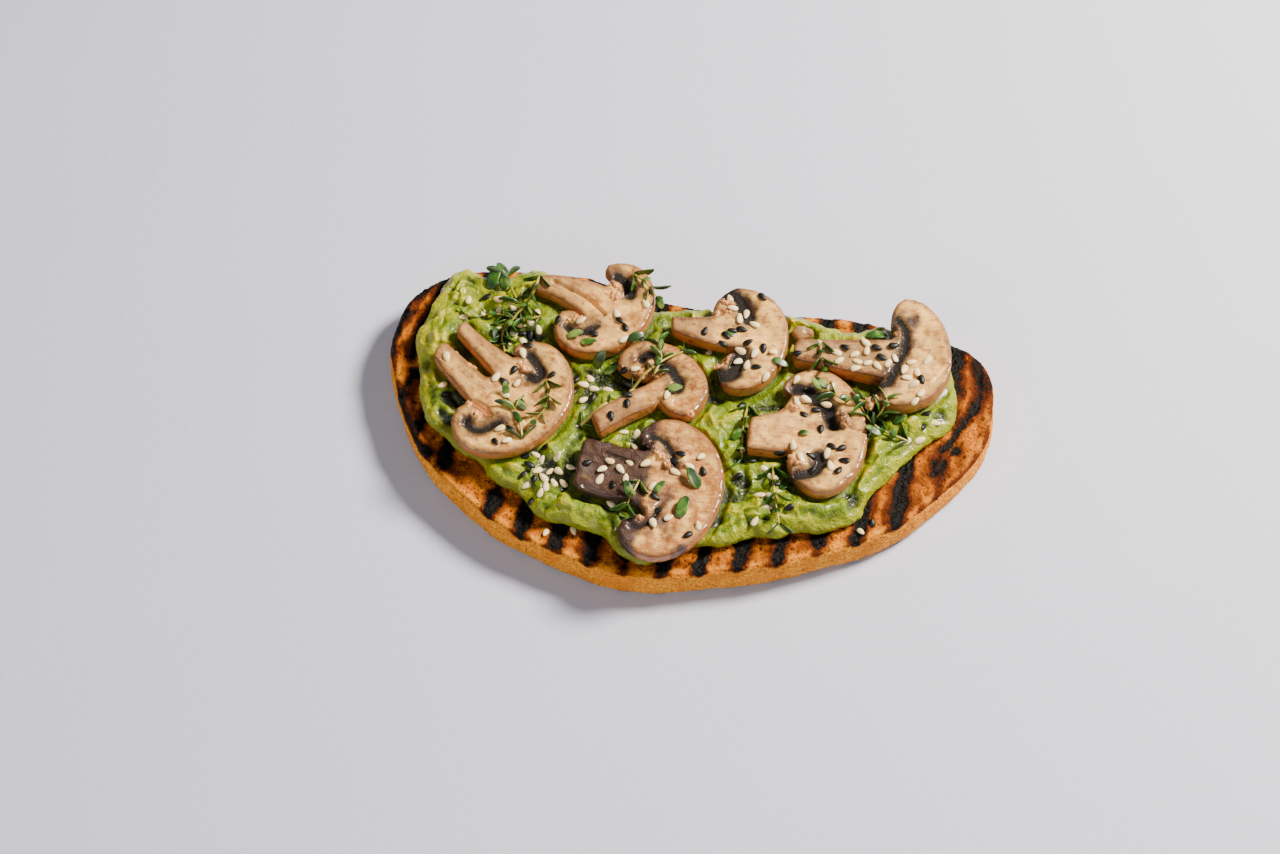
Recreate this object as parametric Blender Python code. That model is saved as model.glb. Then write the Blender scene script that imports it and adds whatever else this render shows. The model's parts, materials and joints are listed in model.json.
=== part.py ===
"""Avocado toast: a grilled slice of sourdough, a layer of crushed avocado spread over it,
seven lengthwise slices of mushroom and one loose bit of mushroom stem.

The toast lies flat on its underside. +X runs along the slice, from its rounder end to its
squarer one, +Y points to the long edge that was the bottom of the loaf, and +Z is up. The
origin is the middle of the bounding box, at the bottom.

All sizes below are in millimetres and angles in degrees; new_body() writes metres.
Run with: blender --background --python part.py
"""

import math
from typing import NamedTuple

import bmesh
import bpy
from mathutils import Matrix, Vector
from mathutils.geometry import delaunay_2d_cdt

MM = 0.001
GAP = 0.3  # clearance between pieces that rest on each other


# --------------------------------------------------------------------------- sizes

# The bread's outline is four quarter superellipses that meet where the slice is longest
# and deepest: (half-length, half-depth, exponent). An exponent of 2 is an ellipse, and a
# larger one is squarer.
BREAD_CENTRE = Vector((-8.0, 5.0))
BREAD_QUARTERS = (
    (101.5, 34.8, 5.4),  # back right: the squarest corner, where the loaf met its tin
    (-86.5, 34.8, 3.1),  # back left
    (-86.5, -68.2, 1.8),  # front left: the domed crust
    (101.5, -68.2, 1.7),  # front right
)
BREAD_POINTS = 120
BREAD_THICKNESS = 13.0
BREAD_SMOOTHING = 4  # passes that ease one quarter into the next
BREAD_SKEW = -0.012  # slope of the back edge
BREAD_WAIST = (-3.0, 36.0, 6.3)  # the shallow dip in the back edge: x, half-width, depth
BREAD_WAVES = ((3, 0.5, 1.9), (7, 0.45, 0.4), (12, 0.3, 2.6))  # count, height, phase
BREAD_TOP_ROUND = 1.8
BREAD_BOTTOM_ROUND = 2.6
BREAD_BULGE = 0.5  # how far the crust stands out half-way up
CRUST_LIP = (2.2, 0.5)  # the crumb inside the crust lies lower: width of the slope, drop

# The avocado keeps this far inside the bread's edge: (bearing round the middle, margin).
# Small margins are tongues that reach the crust, and large ones are bare toast.
AVOCADO_MIDDLE = Vector((0.0, -8.0))
AVOCADO_MARGINS = (
    (-178, 8.2), (-171, 6.2), (-157, 8.2), (-150, 12.4), (-144, 9.2), (-138, 11.0),
    (-126, 8.0), (-108, 10.0), (-97, 5.0), (-91, 1.8), (-83, 7.0), (-72, 9.0),
    (-65, 6.8), (-54, 10.2), (-47, 7.2), (-43, 9.0), (-36, 5.0), (-28, 7.0),
    (-20, 12.6), (-6, 15.4), (3, 12.0), (14, 12.2), (19, 14.0), (37, 2.6),
    (46, 8.6), (57, 2.8), (86, 3.0), (110, 7.2), (131, 6.8), (140, 2.2),
    (145, 7.0), (152, 2.0), (162, 9.2), (170, 9.6),
)
AVOCADO_POINTS = 110
AVOCADO_WAVES = ((17, 0.5, 0.7), (29, 0.35, 2.2))
AVOCADO_DEPTH = 6.2
AVOCADO_EDGE = 4.2  # height of its rounded edge
AVOCADO_BANK = 7.0  # how far in from its edge it reaches its full depth
AVOCADO_LUMPS = ((7.1, 9.3, 1.0), (4.3, -5.9, 0.6), (-3.1, 11.0, 0.5))  # x pitch, y pitch, height
AVOCADO_GRID = 4.2
BED_MARGIN = 3.0  # the avocado is pressed flat this far round each mushroom slice
BED_SLOPE = 0.7


class Side(NamedTuple):
    """One side of a sliced cap, from the crown to the gills."""

    width: float  # from the slice's axis to its widest point
    wrap: float  # degrees that the rim goes on past its widest point
    roll: float  # radius of the rolled-in rim
    tuck: float  # how far the rim rolls in


class Slice(NamedTuple):
    """A lengthwise mushroom slice. Its axis runs from the stem's end to the crown."""

    place: tuple  # x, y and height of the underside, at the centre of the cap
    turn: float  # bearing of the crown
    tilt: tuple  # degrees: the crown lifted, the left side lifted
    crown: float  # from the centre of the cap to its crown
    left: Side
    right: Side
    neck: tuple  # where the cap meets the stem: distance down the axis, half-width
    stem: tuple  # end of the stem: distance down the axis, half-width, lean to the left
    thickness: float
    fork: tuple = ()  # a slot in the stem's end: distance of its root, half-width, offset


SLICES = {
    "mushroom_left": Slice(
        (-51.3, -13.7, 18.6), -28.3, (-1.0, 2.0), 18.1,
        Side(20.7, 49.0, 2.0, 2.0), Side(22.7, 29.0, 6.2, 7.4), (5.7, 10.0),
        (27.9, 7.8, 3.0), 4.6, fork=(8.5, 1.1, 0.6),
    ),
    "mushroom_back_left": Slice(
        (-30.2, 21.3, 18.9), -30.1, (1.0, 2.0), 15.4,
        Side(18.5, 46.0, 2.4, 2.2), Side(18.3, 45.0, 4.6, 4.6), (3.2, 6.5),
        (22.1, 3.2, -6.2), 5.0,
    ),
    "mushroom_centre": Slice(
        (-7.7, -6.3, 18.9), 32.2, (2.5, -1.5), 16.0,
        Side(19.4, 36.0, 7.6, 3.6), Side(12.7, -29.0, 5.8, 3.0), (2.6, 4.2),
        (21.3, 3.9, -2.7), 5.0,
    ),
    "mushroom_back": Slice(
        (12.9, 20.1, 19.0), 9.5, (2.0, 2.0), 15.3,
        Side(15.3, 56.0, 2.0, 2.9), Side(21.1, 14.0, 7.2, 6.1), (5.7, 5.6),
        (20.8, 2.7, 2.8), 5.4,
    ),
    "mushroom_back_right": Slice(
        (62.2, 17.4, 19.2), 2.1, (3.0, 0.5), 16.3,
        Side(23.0, -6.0, 6.6, 4.2), Side(16.2, -11.0, 5.8, 7.4), (3.0, 7.2),
        (31.9, 3.8, 0.6), 6.4,
    ),
    "mushroom_right": Slice(
        (40.0, -12.3, 18.8), 4.3, (1.5, -1.5), 16.9,
        Side(23.6, 43.0, 2.2, 2.0), Side(21.4, -33.0, 9.6, 7.8), (9.7, 7.5),
        (19.0, 5.6, -1.3), 5.2,
    ),
    "mushroom_front": Slice(
        (-1.4, -34.9, 18.4), 0.1, (-1.5, 1.5), 18.7,
        Side(21.1, 47.0, 2.2, 1.8), Side(25.7, 34.0, 4.6, 5.0), (4.8, 8.8),
        (25.7, 8.6, 1.4), 4.6,
    ),
}
RIM_FLATTENING = 0.62  # past its widest point a cap is flatter than a circle by this much
SLICE_EDGE = 0.9  # rounding of a slice's cut edges
SLICE_GRID = 3.4
SLICE_POINTS = 52
CAP_DOME = 0.5  # the cap's flesh stands this much higher in the middle
GILL_DEPTH = 1.3
GILL_WIDTH = 3.2

SCRAP_PLACE = (31.9, 24.6, 19.0)
SCRAP_SIZE = (3.3, 2.5, 3.2)  # half-length, half-width, thickness
SCRAP_POINTS = 20

COLOURS = {  # linear red, green and blue, then roughness
    "toast": ((0.47, 0.22, 0.075), 0.75),
    "avocado": ((0.33, 0.46, 0.03), 0.4),
    "mushroom": ((0.58, 0.40, 0.25), 0.4),
}


# ------------------------------------------------------------------- outline helpers


def evenly_spaced(points, count):
    """The closed outline through these points, as this many points the same way apart."""
    closed = points + points[:1]
    lengths = [(b - a).length for a, b in zip(closed, closed[1:])]
    step = sum(lengths) / count
    spaced = []
    passed, side = 0.0, 0
    for i in range(count):
        while side < len(lengths) - 1 and passed + lengths[side] <= i * step:
            passed += lengths[side]
            side += 1
        share = (i * step - passed) / lengths[side]
        spaced.append(closed[side].lerp(closed[side + 1], share))
    return spaced


def smoothed(points, passes):
    for _ in range(passes):
        count = len(points)
        points = [
            (points[i - 1] + 2 * points[i] + points[(i + 1) % count]) / 4 for i in range(count)
        ]
    return points


def outward_normals(points):
    """Unit normals of an outline that runs anticlockwise."""
    normals = []
    for i in range(len(points)):
        along = points[(i + 1) % len(points)] - points[i - 1]
        normals.append(Vector((along.y, -along.x)).normalized())
    return normals


def offset(points, amounts):
    """The outline moved outward by one amount for each point, or by one for all."""
    if isinstance(amounts, (int, float)):
        amounts = [amounts] * len(points)
    return [p + n * a for p, n, a in zip(points, outward_normals(points), amounts)]


def waves(share, terms):
    """A sum of sines round an outline; share goes from 0 to 1."""
    return sum(h * math.sin(math.tau * n * share + phase) for n, h, phase in terms)


def wavy(points, terms):
    return offset(points, [waves(i / len(points), terms) for i in range(len(points))])


def distance_to_edge(outline, point):
    """How far the point is from the outline's nearest side."""
    nearest = math.inf
    for i, a in enumerate(outline):
        along = outline[i - 1] - a
        share = (point - a).dot(along) / max(along.length_squared, 1e-9)
        foot = a + along * min(max(share, 0.0), 1.0)
        nearest = min(nearest, (point - foot).length_squared)
    return math.sqrt(nearest)


def is_inside(outline, point):
    inside = False
    for i, a in enumerate(outline):
        b = outline[i - 1]
        if (a.y > point.y) != (b.y > point.y):
            crossing = a.x + (b.x - a.x) * (point.y - a.y) / (b.y - a.y)
            inside ^= point.x < crossing
    return inside


def grid_inside(outline, pitch):
    """Points of a triangular grid inside the outline and clear of its edge."""
    left, right = min(p.x for p in outline), max(p.x for p in outline)
    low, high = min(p.y for p in outline), max(p.y for p in outline)
    row_height = pitch * math.sqrt(0.75)
    points = []
    for row in range(math.ceil((high - low) / row_height)):
        for column in range(math.ceil((right - left) / pitch) + 1):
            x = left + (column + 0.5 * (row % 2)) * pitch
            point = Vector((x, low + (row + 0.5) * row_height))
            if is_inside(outline, point) and distance_to_edge(outline, point) > 0.6 * pitch:
                points.append(point)
    return points


def smoothstep(low, high, value):
    share = min(max((value - low) / (high - low), 0.0), 1.0)
    return share * share * (3.0 - 2.0 * share)


# --------------------------------------------------------------------- body helpers


def clear_scene():
    for obj in list(bpy.data.objects):
        bpy.data.objects.remove(obj, do_unlink=True)


def new_material(name):
    colour, roughness = COLOURS[name]
    material = bpy.data.materials.new(name)
    material.use_nodes = True
    shader = material.node_tree.nodes["Principled BSDF"]
    shader.inputs["Base Color"].default_value = (*colour, 1.0)
    shader.inputs["Roughness"].default_value = roughness
    return material


def new_body(name, rings, inner, height, material):
    """A closed body: rings of points from its underside up, and a top over the last ring.

    The underside is flat. The top runs through the inner points, at height(point)."""
    bm = bmesh.new()
    loops = [[bm.verts.new(Vector(point) * MM) for point in ring] for ring in rings]
    for low, high in zip(loops, loops[1:]):
        for i in range(len(low)):
            bm.faces.new((low[i - 1], low[i], high[i], high[i - 1]))
    bm.faces.new(reversed(loops[0]))

    rim = [Vector(point).xy for point in rings[-1]]
    sides = [(i, (i + 1) % len(rim)) for i in range(len(rim))]
    flat, _, triangles, sources, *_ = delaunay_2d_cdt(rim + inner, sides, [], 1, 1e-5)
    corners = []
    for point, source in zip(flat, sources):
        if source[0] < len(rim):
            corners.append(loops[-1][source[0]])
        else:
            corners.append(bm.verts.new(Vector((*point, height(point))) * MM))
    for triangle in triangles:
        bm.faces.new([corners[i] for i in triangle])

    mesh = bpy.data.meshes.new(name)
    bm.to_mesh(mesh)
    bm.free()
    mesh.shade_smooth()
    mesh.materials.append(material)
    body = bpy.data.objects.new(name, mesh)
    bpy.context.scene.collection.objects.link(body)
    return body


def ring(outline, z):
    return [(p.x, p.y, z) for p in outline]


# ---------------------------------------------------------------------------- bread


def quarter(half_length, half_depth, exponent, steps=90):
    """A quarter superellipse, from its end on the X axis to its end on the Y axis."""
    power = 2.0 / exponent
    angles = [math.pi / 2 * i / steps for i in range(steps + 1)]
    return [
        BREAD_CENTRE
        + Vector((half_length * math.cos(a) ** power, half_depth * math.sin(a) ** power))
        for a in angles
    ]


def bread_outline():
    back_right, back_left, front_left, front_right = (quarter(*q) for q in BREAD_QUARTERS)
    whole = back_right + back_left[-2::-1] + front_left[1:] + front_right[-2:0:-1]
    points = smoothed(evenly_spaced(whole, BREAD_POINTS), BREAD_SMOOTHING)
    middle, half_width, depth = BREAD_WAIST
    for p in points:
        waist = depth * math.exp(-(((p.x - middle) / half_width) ** 2))
        p.y += smoothstep(0.0, 25.0, p.y) * (BREAD_SKEW * p.x - waist)
    return wavy(points, BREAD_WAVES)


def make_bread(outline, material):
    rings = []
    for step in range(4):  # the bottom edge, from the flat underside out and up
        angle = math.radians(30 * step)
        inset = BREAD_BOTTOM_ROUND * (1 - math.sin(angle)) + BREAD_BULGE
        rings.append(ring(offset(outline, -inset), BREAD_BOTTOM_ROUND * (1 - math.cos(angle))))
    rings.append(ring(outline, BREAD_THICKNESS / 2))
    for step in range(4):  # the top edge, in over the crust
        angle = math.radians(30 * step)
        inset = BREAD_TOP_ROUND * (1 - math.cos(angle)) + BREAD_BULGE
        height = BREAD_THICKNESS - BREAD_TOP_ROUND * (1 - math.sin(angle))
        rings.append(ring(offset(outline, -inset), height))
    lip, drop = CRUST_LIP
    crumb = BREAD_THICKNESS - drop
    inset = BREAD_TOP_ROUND + BREAD_BULGE + lip
    rings.append(ring(offset(outline, -inset), crumb))
    return new_body("bread", rings, [], lambda point: crumb, material)


# ------------------------------------------------------------------ mushroom slices


def cap_side(shape, side):
    """One side of a slice, in its own (u, v): u runs to the crown and v away from the axis.

    It runs from the crown round the rim, in under the gills and down the stem."""
    end = math.radians(90 + side.wrap)
    points = []
    for i in range(15):
        angle = end * i / 14
        length = shape.crown if angle <= math.pi / 2 else RIM_FLATTENING * side.width
        points.append(Vector((length * math.cos(angle), side.width * math.sin(angle))))

    out = Vector((math.cos(end) / (RIM_FLATTENING * side.width), math.sin(end) / side.width))
    out.normalize()
    inward = Vector((-out.y, out.x))
    middle = points[-1] - out * side.roll
    for i in range(1, 8):
        angle = math.pi * i / 7
        points.append(
            middle + out * (side.roll * math.cos(angle)) + inward * (side.tuck * math.sin(angle))
        )

    rolled_in = points[-1]
    neck = Vector((-shape.neck[0], shape.neck[1]))
    return points + [rolled_in.lerp(neck, share) for share in (0.35, 0.7, 1.0)]


def stem_side(shape, lean):
    """One side of the stem, from the neck to its end."""
    neck, half_neck = shape.neck
    length, half_end, _ = shape.stem
    points = []
    for i in range(1, 6):
        share = i / 5
        u = -neck - (length - neck) * share
        points.append(Vector((u, half_neck + (half_end - half_neck) * share + lean * share**2)))
    return points


def slice_outline(shape):
    """The slice's outline in its own (u, v), anticlockwise from the crown."""
    lean = shape.stem[2]
    left = cap_side(shape, shape.left) + stem_side(shape, lean)
    right = cap_side(shape, shape.right) + stem_side(shape, -lean)
    mirrored = [Vector((p.x, -p.y)) for p in reversed(right)]
    slot = []
    if shape.fork:
        root, half_width, off = shape.fork
        end = -shape.stem[0] - 0.2
        slot = [
            Vector((end, off + lean + 2 * half_width)),
            Vector((-root, off + half_width)),
            Vector((-root + half_width, off)),
            Vector((-root, off - half_width)),
            Vector((end, off + lean - 2 * half_width)),
        ]
    return evenly_spaced(left + slot + mirrored[:-1], SLICE_POINTS + 14 * bool(slot))


def gill_line(shape, side, sign):
    """Points along the gills of one side, from the neck to the rolled rim."""
    neck = Vector((-shape.neck[0] + 3.0, sign * (shape.neck[1] + 1.0)))
    end = math.radians(90 + side.wrap)
    reach = side.width - 1.6 * side.roll
    rim = Vector((RIM_FLATTENING * side.width * math.cos(end) + 1.0, sign * reach))
    bow = Vector((2.5, 0.0))
    return [neck.lerp(rim, t) + bow * math.sin(math.pi * t) for t in (0, 0.25, 0.5, 0.75, 1)]


def slice_relief(shape, point):
    """Height of the cut face over its edge: domed flesh, with the gills sunk into it."""
    gills = gill_line(shape, shape.left, 1) + gill_line(shape, shape.right, -1)
    nearest = min((point - g).length for g in gills)
    sunk = GILL_DEPTH * (1 - smoothstep(0.3 * GILL_WIDTH, GILL_WIDTH, nearest))
    return CAP_DOME - sunk


def placement(shape):
    """Where the slice lies, in millimetres."""
    crown_up, left_up = shape.tilt
    turned = Matrix.Rotation(math.radians(shape.turn), 4, "Z")
    pitched = Matrix.Rotation(math.radians(-crown_up), 4, "Y")
    rolled = Matrix.Rotation(math.radians(left_up), 4, "X")
    return Matrix.Translation(shape.place) @ turned @ pitched @ rolled


def make_slice(name, shape, material):
    outline = slice_outline(shape)
    top = shape.thickness
    rings = [
        ring(offset(outline, -SLICE_EDGE), 0.0),
        ring(outline, SLICE_EDGE),
        ring(outline, top - SLICE_EDGE),
        ring(offset(outline, -SLICE_EDGE), top),
    ]
    inner = grid_inside([Vector(p).xy for p in rings[-1]], SLICE_GRID)
    body = new_body(name, rings, inner, lambda p: top + slice_relief(shape, p), material)
    place = placement(shape)
    place.translation *= MM
    body.matrix_world = place
    return body


def make_scrap(material):
    """A loose bit of stem: an uneven oval pebble."""
    half_length, half_width, thickness = SCRAP_SIZE
    turns = [math.tau * i / SCRAP_POINTS for i in range(SCRAP_POINTS)]
    oval = [Vector((half_length * math.cos(a), half_width * math.sin(a))) for a in turns]
    outline = wavy(oval, ((2, 0.2, 0.4), (3, 0.25, 1.0)))
    rings = [
        ring(offset(outline, -0.7), 0.0),
        ring(outline, 0.9),
        ring(outline, thickness - 1.1),
        ring(offset(outline, -0.9), thickness),
    ]
    body = new_body("mushroom_scrap", rings, [Vector((0.0, 0.0))], lambda p: thickness + 0.3, material)
    body.location = Vector(SCRAP_PLACE) * MM
    return body


# -------------------------------------------------------------------------- avocado


def margin_at(bearing):
    """The margin at this bearing, eased from one station to the next."""
    stations = AVOCADO_MARGINS + ((AVOCADO_MARGINS[0][0] + 360, AVOCADO_MARGINS[0][1]),)
    if bearing < stations[0][0]:
        bearing += 360
    for (start, low), (end, high) in zip(stations, stations[1:]):
        if start <= bearing <= end:
            return low + (high - low) * smoothstep(start, end, bearing)
    raise ValueError(f"no margin at bearing {bearing}")


def avocado_outline(bread):
    margins = []
    for p in bread:
        arm = p - AVOCADO_MIDDLE
        margins.append(-margin_at(math.degrees(math.atan2(arm.y, arm.x))))
    return wavy(evenly_spaced(offset(bread, margins), AVOCADO_POINTS), AVOCADO_WAVES)


class Bed:
    """The plane under a piece that lies on the avocado, and the piece's outline on it."""

    def __init__(self, outline, place):
        self.outline = [(place @ Vector((p.x, p.y, 0.0))).xy for p in outline]
        self.origin = place.translation
        self.normal = place.to_3x3().col[2]

    def limit(self, point):
        """The highest that the avocado may reach at this point."""
        across = self.normal.xy.dot(point - self.origin.xy)
        plane = self.origin.z - across / self.normal.z
        clear = 0.0 if is_inside(self.outline, point) else distance_to_edge(self.outline, point)
        return plane - GAP + BED_SLOPE * max(clear - BED_MARGIN, 0.0)


def beds():
    found = [Bed(slice_outline(shape), placement(shape)) for shape in SLICES.values()]
    half_length, half_width, _ = SCRAP_SIZE
    corners = [Vector((x, y)) for x, y in ((1, 1), (-1, 1), (-1, -1), (1, -1))]
    scrap = [Vector((half_length * c.x, half_width * c.y)) for c in corners]
    return found + [Bed(scrap, Matrix.Translation(SCRAP_PLACE))]


def make_avocado(outline, material):
    base = BREAD_THICKNESS + GAP
    under = beds()

    def top(point):
        inward = distance_to_edge(outline, point)
        bank = smoothstep(0.0, AVOCADO_BANK, inward)
        lumps = sum(
            h * math.sin(point.x / x_pitch + point.y / y_pitch)
            for x_pitch, y_pitch, h in AVOCADO_LUMPS
        )
        height = AVOCADO_EDGE + (AVOCADO_DEPTH - AVOCADO_EDGE) * bank + lumps * bank
        return min([base + height] + [bed.limit(point) for bed in under])

    shoulder = offset(outline, -1.6)
    rings = [
        ring(offset(outline, -0.8), base),
        ring(outline, base + 0.4 * AVOCADO_EDGE),
        ring(offset(outline, -0.4), base + 0.75 * AVOCADO_EDGE),
        [(p.x, p.y, min(top(p), base + AVOCADO_EDGE)) for p in shoulder],
    ]
    return new_body("avocado", rings, grid_inside(shoulder, AVOCADO_GRID), top, material)


# ---------------------------------------------------------------------------- whole


def centre_on_origin(bodies):
    """Hangs the bodies on one empty, moved so that the bounding box stands on the origin."""
    bpy.context.view_layer.update()
    corners = [body.matrix_world @ vertex.co for body in bodies for vertex in body.data.vertices]
    middle = [(min(c[axis] for c in corners) + max(c[axis] for c in corners)) / 2 for axis in (0, 1)]
    toast = bpy.data.objects.new("toast", None)
    bpy.context.scene.collection.objects.link(toast)
    for body in bodies:
        body.parent = toast
    toast.location = (-middle[0], -middle[1], -min(c.z for c in corners))


def main():
    clear_scene()
    bread_edge = bread_outline()
    mushroom = new_material("mushroom")
    bodies = [
        make_bread(bread_edge, new_material("toast")),
        make_avocado(avocado_outline(bread_edge), new_material("avocado")),
        make_scrap(mushroom),
    ]
    bodies += [make_slice(name, shape, mushroom) for name, shape in SLICES.items()]
    centre_on_origin(bodies)


main()
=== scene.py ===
"""An avocado toast, dressed: grilled bread, crushed avocado, sliced mushrooms, sesame and thyme.

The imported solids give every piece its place, outline and height. Each is remeshed finely
here, then given its relief and its finish. The geometry code works in millimetres in the
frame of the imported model, and MM turns a length into metres.
"""

import itertools
import json
import math
from typing import NamedTuple

import bmesh
import bpy
import numpy as np
from bpy.props import FloatProperty, FloatVectorProperty, PointerProperty
from mathutils import Matrix, Vector
from mathutils.bvhtree import BVHTree
from mathutils.kdtree import KDTree

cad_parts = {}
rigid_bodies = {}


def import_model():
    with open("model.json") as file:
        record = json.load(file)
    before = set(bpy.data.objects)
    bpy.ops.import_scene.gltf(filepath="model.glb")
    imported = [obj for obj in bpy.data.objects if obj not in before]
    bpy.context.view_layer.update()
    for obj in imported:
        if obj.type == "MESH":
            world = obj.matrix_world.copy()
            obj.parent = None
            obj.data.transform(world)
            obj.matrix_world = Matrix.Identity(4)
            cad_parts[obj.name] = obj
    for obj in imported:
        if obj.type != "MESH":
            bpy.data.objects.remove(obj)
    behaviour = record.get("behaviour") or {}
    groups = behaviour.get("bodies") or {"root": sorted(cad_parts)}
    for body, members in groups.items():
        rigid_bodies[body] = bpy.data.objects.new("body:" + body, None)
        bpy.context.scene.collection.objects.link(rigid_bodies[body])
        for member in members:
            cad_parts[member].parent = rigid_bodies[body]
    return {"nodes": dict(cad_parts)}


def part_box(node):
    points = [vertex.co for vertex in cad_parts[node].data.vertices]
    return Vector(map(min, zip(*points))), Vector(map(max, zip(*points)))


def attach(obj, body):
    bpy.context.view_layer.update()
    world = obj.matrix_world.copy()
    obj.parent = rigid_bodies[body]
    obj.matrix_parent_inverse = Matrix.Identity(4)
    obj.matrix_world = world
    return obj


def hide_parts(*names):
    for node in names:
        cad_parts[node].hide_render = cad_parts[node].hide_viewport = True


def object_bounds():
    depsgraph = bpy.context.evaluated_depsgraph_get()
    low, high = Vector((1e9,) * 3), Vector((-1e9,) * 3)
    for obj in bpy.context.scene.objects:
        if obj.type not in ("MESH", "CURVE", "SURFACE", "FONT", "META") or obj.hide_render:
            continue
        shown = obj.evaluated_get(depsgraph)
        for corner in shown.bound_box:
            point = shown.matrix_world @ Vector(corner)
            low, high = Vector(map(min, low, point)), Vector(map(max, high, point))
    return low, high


bl_info = {
    "name": "Avocado Toast",
    "version": (1, 0, 0),
    "blender": (4, 5, 0),
    "location": "View3D > Sidebar > Toast",
    "description": "Dresses a grilled slice of bread with avocado, mushrooms, sesame and thyme",
    "category": "Add Mesh",
}

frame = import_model()
CAD_BOX = [list(corner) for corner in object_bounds()]

MM = 0.001
BODY = "root"
MUSHROOMS = sorted(name for name in frame["nodes"] if name.startswith("mushroom"))
UP, DOWN = Vector((0.0, 0.0, 1.0)), Vector((0.0, 0.0, -1.0))


# ------------------------------------------------------------------ numbers and noise


def smoothstep(low, high, value):
    share = np.clip((value - low) / (high - low), 0.0, 1.0)
    return share * share * (3.0 - 2.0 * share)


def mix(low, high, share):
    return low + (high - low) * share


# The patterns take a slope, or a spot and a number, for each cell from a table of this length.
TABLE = 4096
DRAW = np.random.default_rng(11)
SLOPES = DRAW.normal(size=(TABLE, 3))
SLOPES /= np.linalg.norm(SLOPES, axis=1)[:, None]
SPOTS = DRAW.random((TABLE, 4))
# Large odd numbers that scramble a cell's place and a pattern's seed.
SCRAMBLE = [np.uint32(number) for number in (374761393, 668265263, 2246822519, 1274126177)]
SEED_SCRAMBLE = 326648991
NOISE_GAIN = 1.6  # brings gradient noise up to about -1 to 1


def entry(cells, seed):
    """The table entry that stands for each whole-numbered cell."""
    x, y, z = cells.astype(np.int64).astype(np.uint32).T
    mixed = x * SCRAMBLE[0] + y * SCRAMBLE[1] + z * SCRAMBLE[2]
    mixed = mixed + np.uint32(seed * SEED_SCRAMBLE % 2**32)
    mixed = (mixed ^ (mixed >> 13)) * SCRAMBLE[3]
    return (mixed ^ (mixed >> 16)) % TABLE


def noise(points, pitch, seed=0):
    """Smooth gradient noise, from about -1 to 1, whose lumps lie about a pitch apart."""
    scaled = points / pitch
    cell = np.floor(scaled)
    inside = scaled - cell
    fade = inside**3 * (inside * (inside * 6 - 15) + 10)
    total = np.zeros(len(points))
    for corner in itertools.product((0, 1), repeat=3):
        corner = np.array(corner)
        slope = SLOPES[entry(cell + corner, seed)]
        weight = np.where(corner, fade, 1 - fade)
        rise = np.einsum("ij,ij->i", slope, inside - corner)
        total += weight[:, 0] * weight[:, 1] * weight[:, 2] * rise
    return NOISE_GAIN * total


def fractal(points, pitch, seed=0, octaves=3):
    """Noise with finer and weaker noise on top of it."""
    return sum(noise(points, pitch / 2**i, seed + i) / 2**i for i in range(octaves))


def warped(points, pitch, reach, seed):
    """The points moved about by noise, which turns even patterns into irregular ones."""
    moves = [noise(points, pitch, seed + axis) for axis in range(3)]
    return points + reach * np.stack(moves, axis=1)


def bubbles(points, pitch, seed=0):
    """Distance to the nearest of scattered centres, about 0 to 1, and that centre's number."""
    scaled = points / pitch
    cell = np.floor(scaled)
    nearest = np.full(len(points), 9.0)
    number = np.zeros(len(points))
    for step in itertools.product((-1, 0, 1), repeat=3):
        other = cell + np.array(step)
        spot = SPOTS[entry(other, seed)]
        distance = np.linalg.norm(scaled - other - spot[:, :3], axis=1)
        closer = distance < nearest
        nearest = np.where(closer, distance, nearest)
        number = np.where(closer, spot[:, 3], number)
    return nearest, number


def along(points, step=0.25):
    """A smooth curve through a few points, as points a short step apart."""
    points = np.array(points, float)
    padded = np.vstack([2 * points[0] - points[1], points, 2 * points[-1] - points[-2]])
    curve = []
    for a, b, c, d in zip(padded, padded[1:], padded[2:], padded[3:]):
        count = max(2, math.ceil(np.linalg.norm(c - b) / step))
        for t in np.arange(count) / count:
            curve.append(
                0.5 * (2 * b + (c - a) * t + (2 * a - 5 * b + 4 * c - d) * t**2
                       + (3 * b - a - 3 * c + d) * t**3)
            )
    return np.array(curve + [points[-1]])


class Nearest:
    """Finds the nearest of some points, seen from above."""

    def __init__(self, points):
        self.points = np.array(points, float)[:, :2]
        self.tree = KDTree(len(self.points))
        for i, (x, y) in enumerate(self.points):
            self.tree.insert((x, y, 0.0), i)
        self.tree.balance()

    def find(self, points):
        """For each point, the nearest one's index and its distance."""
        found = [self.tree.find((x, y, 0.0))[1:] for x, y in points[:, :2]]
        index, distance = np.array(found).T
        return index.astype(int), distance


# -------------------------------------------------------------------- solids and meshes


def merged(node):
    """A node's solid with its loose triangles joined."""
    bm = bmesh.new()
    bm.from_mesh(frame["nodes"][node].data)
    bmesh.ops.remove_doubles(bm, verts=bm.verts, dist=1e-6)
    return bm


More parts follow.
